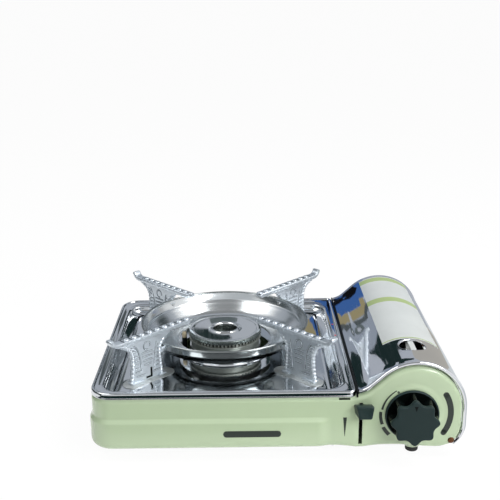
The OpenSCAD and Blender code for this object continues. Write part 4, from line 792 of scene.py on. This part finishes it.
def leg_rest(s):
    """Pan rest: a beaded bar along the top with a curled tip."""
    spine = [(49.6, REST_Z - 2.6), (52, REST_Z - 2.4), (136.5, REST_Z - 2.4)] \
        + arc(136.6, REST_Z + 5.2, 7.4, -88, -12, 8)[1:] + [(144.1, REST_Z + 3.5)]
    section = fillet([(0, -1, 0), (1, -1, 0.35), (1, 1, 0.35), (-1, 1, 0.35), (-1, -1, 0.35), (0, -1, 0)], 4)[:-1]
    loops = []
    for i, (x, z) in enumerate(spine):
        way = (Vector(spine[min(i + 1, len(spine) - 1)]) - Vector(spine[max(i - 1, 0)])).normalized()
        end = i in (0, len(spine) - 1)
        half_w = 3.4 if end else 4.4 - 0.5 * ease((x - 120) / 30)
        half_t = (1.2 if end else 2.35) - 0.5 * ease((x - 128) / 16)
        loops.append([(x - way.y * v * half_t, u * half_w, z + way.x * v * half_t) for u, v in section])
    s.strip(loops, closed=True)
    s.cap(loops[0])
    s.cap(loops[-1])
    s.rod([(144.0, y, REST_Z + 2.8) for y in (-3.9, -3.4, 0, 3.4, 3.9)], lambda t: 1.5 if t in (0, 1) else 1.75)
    dome = [(0.02, 1.55)] + [(2.9 * sind(a), 1.55 * cosd(a)) for a in range(15, 91, 15)]
    for i in range(9):
        s.turned(dome, (52.0 + 9.2 * i, 0, REST_Z - 0.2), steps=20)
        # the gaps between the beads take the darker zinc: painted shade
        s.block((56.2 + 9.2 * i, -3.0, REST_Z - 0.5), (57.0 + 9.2 * i, 3.0, REST_Z + 0.18), 0.1, finish=2)


def relief_lines():
    """Lines on the web as (x, height): ring, bars, scrolls and ribs, the ten bolder ones first."""
    lines = [[(103 + 3.9 * cosd(a), 34 + 4.0 * sind(a)) for a in range(255, 556, 20)]]
    lines += [[(x0, z), ((x0 + x1) / 2, z + 0.2), (x1, z)] for x0, x1, z in
              ((96.5, 109.8, 27.8), (96.8, 109.2, 23.8), (97.2, 108.4, 19.6), (98.6, 107.7, 15.4))]
    lines += [fillet([(118.3, 38, 0), (113.6, 32, 5), (112.0, 24, 5), (110.6, 10.8, 0)], 5),
              fillet([(91.5, 35.5, 0), (94.2, 24, 6), (95.2, 9, 0)], 5),
              [(88.6, 6.4), (92, 6.3), (96.6, 6.0)], [(106.5, 5.8), (112, 6.1), (117.0, 6.3)],
              [(110.8, 10.7), (114, 10.6), (117.2, 10.7)]]
    lines += [[(113.4, z), (115.8, z + 0.5), (118.2, z)] for z in (14.0, 18.0, 22.0, 26.0)]
    lines += [[(116.4, 30.5), (118, 31.8), (120.2, 33.0)], [(117.6, 34.2), (119.8, 35.6), (122.4, 36.6)]]
    return lines + [[(89.8, z), (91.4, z + 0.9), (93.2, z + 0.2)] for z in (10.4, 14.6, 18.8, 23.0, 27.2, 31.2)]


def leg_sheet():
    """One cast leg standing along +X from the burner axis."""
    s = Sheet()
    leg_web(s)
    leg_rest(s)
    for side in (-1, 1):
        # ticks on the flank of the rest
        lo, hi = sorted((side * 4.1, side * 4.6))
        for i in range(16):
            x = 54 + 5.15 * i
            s.block((x, lo, REST_Z - 3.4), (x + 1.5, hi, REST_Z - 1.3), 0.25)
        # each line of the web is a bright crest on a wider band painted dark: painted shade of a hollow
        for i, line in enumerate(relief_lines()):
            wide = 1.42 if i < 10 else 1.2
            s.rod([(x, side * (2.02 - wide), PAD_Z + z) for x, z in line], wide, 12, 2)
            s.rod([(x, side * 1.88, PAD_Z + z) for x, z in line], 0.36, 8)
    # black plates standing for the slit beside the rivet: painted shade
    s.block((97.9, 1.5, PAD_Z + 2.2), (100.2, 1.78, PAD_Z + 11.0), 0.05, finish=1)
    s.block((97.9, 1.5, PAD_Z + 0.9), (105.4, 1.78, PAD_Z + 3.0), 0.05, finish=1)
    # foot flange
    for x0, x1 in ((82.6, 91.5), (109.5, 123.4)):
        s.block((x0, -4.4, PAD_Z), (x1, 4.4, PAD_Z + 1.7), 0.5)
    # lug under the bowl rim
    s.block((81.6, -3.4, 82.2), (87.4, 3.4, 87.4), 0.4)
    return s


def build_legs():
    shape = leg_sheet()
    for name, turn in LEGS.items():
        leg = make("leg_cast_" + name, shape, [leg_zinc, black_sheet, leg_hollow_shade], "pan_support",
                   sharp=38, weld=False)
        leg.matrix_world = Matrix.Translation(Vector(AXIS) * MM) @ Matrix.Rotation(math.radians(turn), 4, "Z")
        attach(leg, "pan_support")
        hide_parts("leg_" + name)


# ---- knob and lever ----

def star(tip, valley, depth):
    """Grip outline with eight blunt tips and wide hollows, one tip straight up."""
    out = []
    for i, (c, n) in enumerate(circle(144)):
        r = valley + (tip - valley) * ((1 + math.cos(16 * math.pi * i / 144)) / 2) ** 1.35
        out.append((KNOB_X + r * n, depth, KNOB_Z + r * c))
    return out


def build_knob():
    s = Sheet()
    y0, y1 = FACE - 2.0, FACE - 20.5
    at = (KNOB_X, y0, KNOB_Z)
    s.turned([(0.5, 0), (24.2, 0), (24.5, -0.3), (24.5, -1.6), (24.1, -2.3), (23.3, -2.6)], at, steps=128, axis="y")
    # the skirt's face behind the grip and the rear of the grip take the darker plastic: painted shade in the flutes
    s.turned([(23.3, -2.6), (22.6, -2.2), (8, -2.2)], at, steps=128, axis="y", finish=2)
    rings = [star(tip, valley, y1 + back) for tip, valley, back in (
        (22.8, 11.8, 16.1), (22.6, 11.8, 15.3), (22.2, 12.0, 8.5), (21.9, 12.5, 6.6), (21.3, 14.6, 5.4),
        (21.7, 17.4, 4.6), (21.9, 18.1, 3.8), (21.9, 18.2, 1.4), (21.8, 18.1, 0.7), (21.4, 17.7, 0.2),
        (20.7, 17.0, 0), (18.5, 15.4, 0.05), (9, 8, 0.25))]
    s.strip(rings[:5], closed=True, finish=2)
    s.strip(rings[4:], closed=True)
    s.cap(rings[-1])
    # pointer notch on the top tip, as a flat black triangle: painted shade
    s.cap([(KNOB_X + x, y1 - 0.02, KNOB_Z + z) for x, z in ((-1.7, 17.2), (1.7, 17.2), (0, 12.2))], 1)
    make("knob_grip", s, [knob_plastic, black_sheet, flute_shade_plastic], "control", ("knob",), sharp=42)


def build_lever():
    s = Sheet()
    loops = []
    # depth, left, right, top, bottom and corner radius of each section
    for y, x0, x1, z1, z0, r in ((-0.4, 69.6, 86.6, 54.6, 44.6, 1.6), (-4, 70.0, 86.8, 55.6, 44.4, 1.8),
                                 (-9.4, 71.1, 87.2, 57.0, 44.2, 1.8), (-10.5, 71.6, 86.9, 56.7, 44.6, 1.7),
                                 (-10.9, 72.4, 86.2, 56.0, 45.3, 1.5), (-10.5, 74.4, 84.4, 54.2, 47.0, 1.0),
                                 (-10.2, 77.8, 81.0, 51.4, 49.6, 0.4)):
        mid, slant = (x0 + x1) / 2, (z1 - z0) * 0.15
        corners = [(mid, z1, 0), (x1, z1, r), (x1 - slant, z0, r), (x0 + slant, z0, r), (x0, z1, r), (mid, z1, 0)]
        loops.append([(x, FACE + y, z) for x, z in fillet(corners, 4)[:-1]])
    s.strip(loops, closed=True)
    s.cap(loops[0])
    s.cap(loops[-1])
    make("lever_cap", s, [lever_plastic], "lever", ("lever_button",), sharp=50)


# ---- printed marks ----

def build_marks(shell):
    """Plain printed shapes on the front: flame wedge, dial arcs, band and dots."""
    b = bmesh.new()
    b.from_mesh(shell.data)
    bmesh.ops.triangulate(b, faces=b.faces)
    surface = BVHTree.FromBMesh(b)
    b.free()

    def on_face(x, z):
        """The painted front at (x, z), 0.06 mm off the skin."""
        hit = surface.ray_cast(Vector((x, -200, z)) * MM, Vector((0, 1, 0)))[0]
        return (x, (hit.y / MM if hit else FACE) - 0.06, z)

    def printed(name, shapes):
        """Flat shapes of rows of points, laid on the skin."""
        s = Sheet()
        for rows in shapes:
            s.strip([[on_face(x, z) for x, z in row] for row in rows])
        make(name, s, [ink], "stove", sharp=30, weld=False)

    def dial_arc(a0, a1, w0, w1, r, n=16):
        """Rows across a band that turns round the knob axis, w0 wide at a0 and w1 at a1."""
        return [[polar(KNOB_X, KNOB_Z, r + (w0 + (w1 - w0) * i / n) * (k / 6 - 0.5), a0 + (a1 - a0) * i / n)
                 for i in range(n + 1)] for k in range(7)]

    def dot(cx, cz, r):
        return [arc(cx, cz, r * k / 3, 0, 360, 24) for k in range(4)]

    def end_dot(a):
        """Round end of the widest arc."""
        return dot(*polar(KNOB_X, KNOB_Z, 35.5, a), 2.7)

    wedge = [[(60.2 + 1.5 * k / 8, 41.6 - 19.0 * k / 8), (63.6 - 1.6 * k / 8, 41.6 - 19.0 * k / 8)] for k in range(9)]
    printed("dial_marks", [wedge, dial_arc(122, 170, 0.9, 1.9, 27.3), dial_arc(175, 201, 2.6, 3.0, 28.2),
                           dial_arc(207, 226, 3.4, 3.8, 28.6), dial_arc(31, -33, 5.4, 5.4, 35.5, 28),
                           dot(109.4, 66.3, 1.1), end_dot(31), end_dot(-33)])
    pill = [[(x, 27.2 + 3.2 * (k / 4 - 1) * math.sqrt(max(1 - (max(abs(x + 22.5) - 23.3, 0) / 3.2) ** 2, 0)))
             for x in [-49 + 53 * i / 60 for i in range(61)]] for k in range(9)]
    printed("band_pill", [pill])


def build_small_marks():
    """Red dots on the tray's border, and a black block in the slit under the tray's rim: painted shade."""
    s = Sheet()
    for x, y in ((65.5, 51.9), (65.9, 20.9)):
        s.cap([(a, b, BORDER + 0.06) for a, b in arc(x, y, 1.3, 0, 340, 18)])
    make("tray_dots", s, [red_ink], "stove", sharp=30, weld=False)
    s = Sheet()
    # black block under the rim: painted shade of the slit
    s.block((56.2, FACE + 0.3, 58.9), (66.4, FACE + 1.5, 60.4), 0.1)
    make("slit_shade", s, [black_sheet], "stove", sharp=30)


shell_skin = build_shell()
build_tray()
build_pads()
build_lid()
build_hinge()
build_sight_strip()
build_label()
build_bowl()
build_cap()
build_electrode()
build_legs()
build_knob()
build_lever()
build_marks(shell_skin)
build_small_marks()


# ---- studio ----

WHITE = (1, 1, 1)


def bare_tree(owner):
    """The node tree of a material or world, emptied."""
    owner.use_nodes = True
    owner.node_tree.nodes.clear()
    return owner.node_tree


def shader(tree, kind, colour, **more):
    return add_node(tree, kind, Color=(*colour, 1), **more).outputs[0]


def two_lights(tree, light, seen, share, end):
    """Joins light, for diffuse rays, and a share of seen, for camera, glossy and transmission rays."""
    rays = add_node(tree, "ShaderNodeLightPath").outputs
    source = rays["Is Camera Ray"]
    for other in ("Is Glossy Ray", "Is Transmission Ray"):
        source = add_node(tree, "ShaderNodeMath", {0: source, 1: rays[other]}, operation="MAXIMUM").outputs[0]
    factor = add_node(tree, "ShaderNodeMath", {0: source}, operation="MULTIPLY")
    factor.inputs[1].default_value = share
    mix = add_node(tree, "ShaderNodeMixShader", {0: factor.outputs[0], 1: light, 2: seen})
    add_node(tree, end, {0: mix.outputs[0]})


def floor_material():
    m = bpy.data.materials.new("pale floor")
    t = bare_tree(m)
    two_lights(t, shader(t, "ShaderNodeBsdfDiffuse", (0.92, 0.92, 0.92)),
               shader(t, "ShaderNodeEmission", WHITE, Strength=1.02), 0.93, "ShaderNodeOutputMaterial")
    return m


def card_material(name, colour):
    m = bpy.data.materials.new(name)
    t = bare_tree(m)
    add_node(t, "ShaderNodeOutputMaterial", {0: shader(t, "ShaderNodeEmission", colour)})
    return m


def corners_of(lo, hi):
    """Corners of the rectangle between two opposite ones, whose lower edge is level."""
    (x0, y0, z0), (x1, y1, z1) = lo, hi
    if x0 == x1:
        return [lo, (x0, y1, z0), hi, (x0, y0, z1)]
    return [lo, (x1, y0, z0), hi, (x0, y1, z1)]


def stage_plane(name, corners, material):
    mesh = bpy.data.meshes.new(name)
    mesh.from_pydata([Vector(c) for c in corners], [], [list(range(len(corners)))])
    mesh.materials.append(material)
    obj = new_object(name, mesh)
    return obj


def card(name, corners, material):
    """A reflector card that only polished surfaces see."""
    obj = stage_plane(name, corners, material)
    for ray in ("camera", "diffuse", "shadow", "transmission"):
        setattr(obj, "visible_" + ray, False)


def lamp(name, place, target, size, power):
    data = bpy.data.lights.new(name, "AREA")
    data.shape = "RECTANGLE"
    data.size, data.size_y = size
    data.energy = power
    obj = new_object(name, data)
    obj.location = place
    obj.rotation_euler = (Vector(target) - Vector(place)).to_track_quat("-Z", "Y").to_euler()


TONES = {
    "pale": (0.46, 0.49, 0.54), "light": (0.31, 0.35, 0.41), "teal": (0.012, 0.025, 0.025),
    "flank": (0.66, 0.7, 0.72), "mid": (0.27, 0.3, 0.31), "deep": (0.085, 0.1, 0.105), "haze": (0.62, 0.64, 0.66),
    "slate": (0.12, 0.145, 0.15), "blue": (0.05, 0.13, 0.36), "tan": (0.34, 0.29, 0.16),
    "beige": (0.47, 0.45, 0.41), "black": (0.006, 0.006, 0.007), "roof": (0.29, 0.295, 0.3),
}
# upright cards behind the stove, as (x, z) outlines in millimetres, each a little before the last
BACK_CARDS = [
    ("pale", [(-420, 40), (400, 40), (400, 400), (-420, 400)]),
    ("light", [(-60, 100), (20, 92), (62, 108), (88, 124), (110, 150), (70, 166), (20, 141), (-8, 119),
               (-23, 128), (-36, 131), (-50, 128)]),
    ("beige", [(168, 236), (200, 250), (330, 190), (380, 20), (230, 20), (225, 120), (174, 190)]),
    ("blue", [(56, 64), (102, 70), (104, 104), (90, 122), (76, 112), (68, 102), (60, 106), (48, 91), (56, 80)]),
    ("tan", [(48, 91), (60, 106), (68, 102), (76, 112), (70, 119), (52, 115), (37, 97)]),
    ("black", [(63, 81), (66, 89), (75, 96), (90, 100), (85, 92), (75, 80), (69, 84)]),
    ("deep", [(37, 97), (42, 107), (50, 113), (61, 116), (72, 119), (75, 125), (67, 127), (58, 122), (50, 124),
              (43, 118), (37, 110), (32, 103)]),
    ("slate", [(21, 104), (24, 101), (29, 101), (34, 104), (35, 109), (31, 113), (26, 112), (22, 108)]),
    ("pale", [(25, 105), (29, 104), (31, 107), (29, 109), (26, 108)]),
    ("teal", [(60, 166), (47, 152), (21, 141), (-2, 122), (-4, 138), (-4, 168), (0, 190), (36, 215), (50, 215),
              (62, 186)]),
    ("teal", [(20, 172), (44, 170), (60, 184), (165, 186), (168, 195), (122, 208), (92, 210), (88, 238),
              (60, 232), (36, 215), (9, 200)]),
    ("teal", [(76, 166), (110, 168), (114, 196), (84, 206)]),
    ("teal", [(-45, 155), (-70, 145), (-97, 143), (-104, 152), (-84, 160), (-50, 164)]),
    ("teal", [(-145, 62), (-10, 62), (-10, 98), (-60, 108), (-145, 104)]),
    ("deep", [(-176, 84), (-360, 84), (-360, 110), (-178, 110)]),
    ("mid", [(-178, 122), (-360, 122), (-360, 140), (-182, 140)]),
    ("deep", [(-182, 140), (-360, 140), (-360, 176), (-192, 176)]),
    ("deep", [(-160, 144), (-106, 146), (-106, 176), (-158, 177)]),
    ("slate", [(-74, 124), (-54, 121), (-41, 124), (-38, 133), (-48, 140), (-70, 139)]),
    ("teal", [(-127, 168), (-116, 168), (-116, 205), (-129, 205)]),
    ("slate", [(-115, 168), (-56, 166), (-58, 205), (-115, 205)]),
    ("slate", [(-8, 168), (14, 168), (14, 205), (-8, 205)]),
]
# the other cards, as two opposite corners in metres: on the table, sloping from the back and from the front
# to the roof, upright at the left, flat at the right, and the roof between the soft boxes
ROOM_CARDS = [
    ("table", "teal", (-0.5, -0.9, 0.002), (0.11, -0.17, 0.002)),
    ("back_haze", "haze", (-1.4, 0.9, 0.3), (1.4, 0.41, 1.24)),
    ("front_haze", "haze", (-1.4, -1.9, 0.35), (1.4, -1.11, 1.24)),
    ("side", "deep", (-0.42, -0.3, 0.01), (-0.42, 0.6, 0.3)),
    ("flank", "flank", (0.2, -0.5, 0.002), (0.9, 0.5, 0.002)),
    ("roof", "roof", (-0.42, -1.1, 1.24), (0.42, 0.4, 1.24)),
]


def build_cards():
    """Cards round the stove that give the polished steel something to show."""
    tones = {name: card_material(name + " card", colour) for name, colour in TONES.items()}
    for i, (tone, outline) in enumerate(BACK_CARDS):
        y = 0.172 - 0.0004 * i
        card("back_card_%02d" % i, [(x * MM, y, z * MM) for x, z in outline], tones[tone])
    for name, tone, lo, hi in ROOM_CARDS:
        card(name + "_card", corners_of(lo, hi), tones[tone])


def build_studio():
    stage_plane("floor", corners_of((-60, -60, 0), (60, 60, 0)), floor_material())
    world = bpy.data.worlds.new("studio")
    bpy.context.scene.world = world
    t = bare_tree(world)
    two_lights(t, shader(t, "ShaderNodeBackground", WHITE, Strength=0.34),
               shader(t, "ShaderNodeBackground", WHITE, Strength=1.0), 1.0, "ShaderNodeOutputWorld")
    lamp("soft box left", (-0.8, -0.1, 1.25), (0, 0, 0), (0.5, 0.8), 3.4)
    lamp("soft box right", (0.72, -0.2, 1.25), (0, 0, 0), (0.5, 0.8), 8.6)
    lamp("front fill", (0.9, -1.3, 0.9), (0, 0, 0.05), (0.9, 0.5), 14.5)
    build_cards()


def build_camera():
    place, pitch, yaw, roll = (-0.0239, -0.8238, 0.4149), 16.77, 0.11, -0.65  # pitch is below level
    data = bpy.data.cameras.new("view")
    data.lens = 62.51
    data.sensor_width = 36
    m = Matrix.Translation(place)
    for angle, axis in ((-yaw, "Z"), (90 - pitch, "X"), (roll, "Z")):
        m = m @ Matrix.Rotation(math.radians(angle), 4, axis)
    obj = bpy.context.scene.camera = new_object("view", data)
    obj.matrix_world = m


build_studio()
build_camera()
bpy.context.scene.view_settings.view_transform = "Standard"
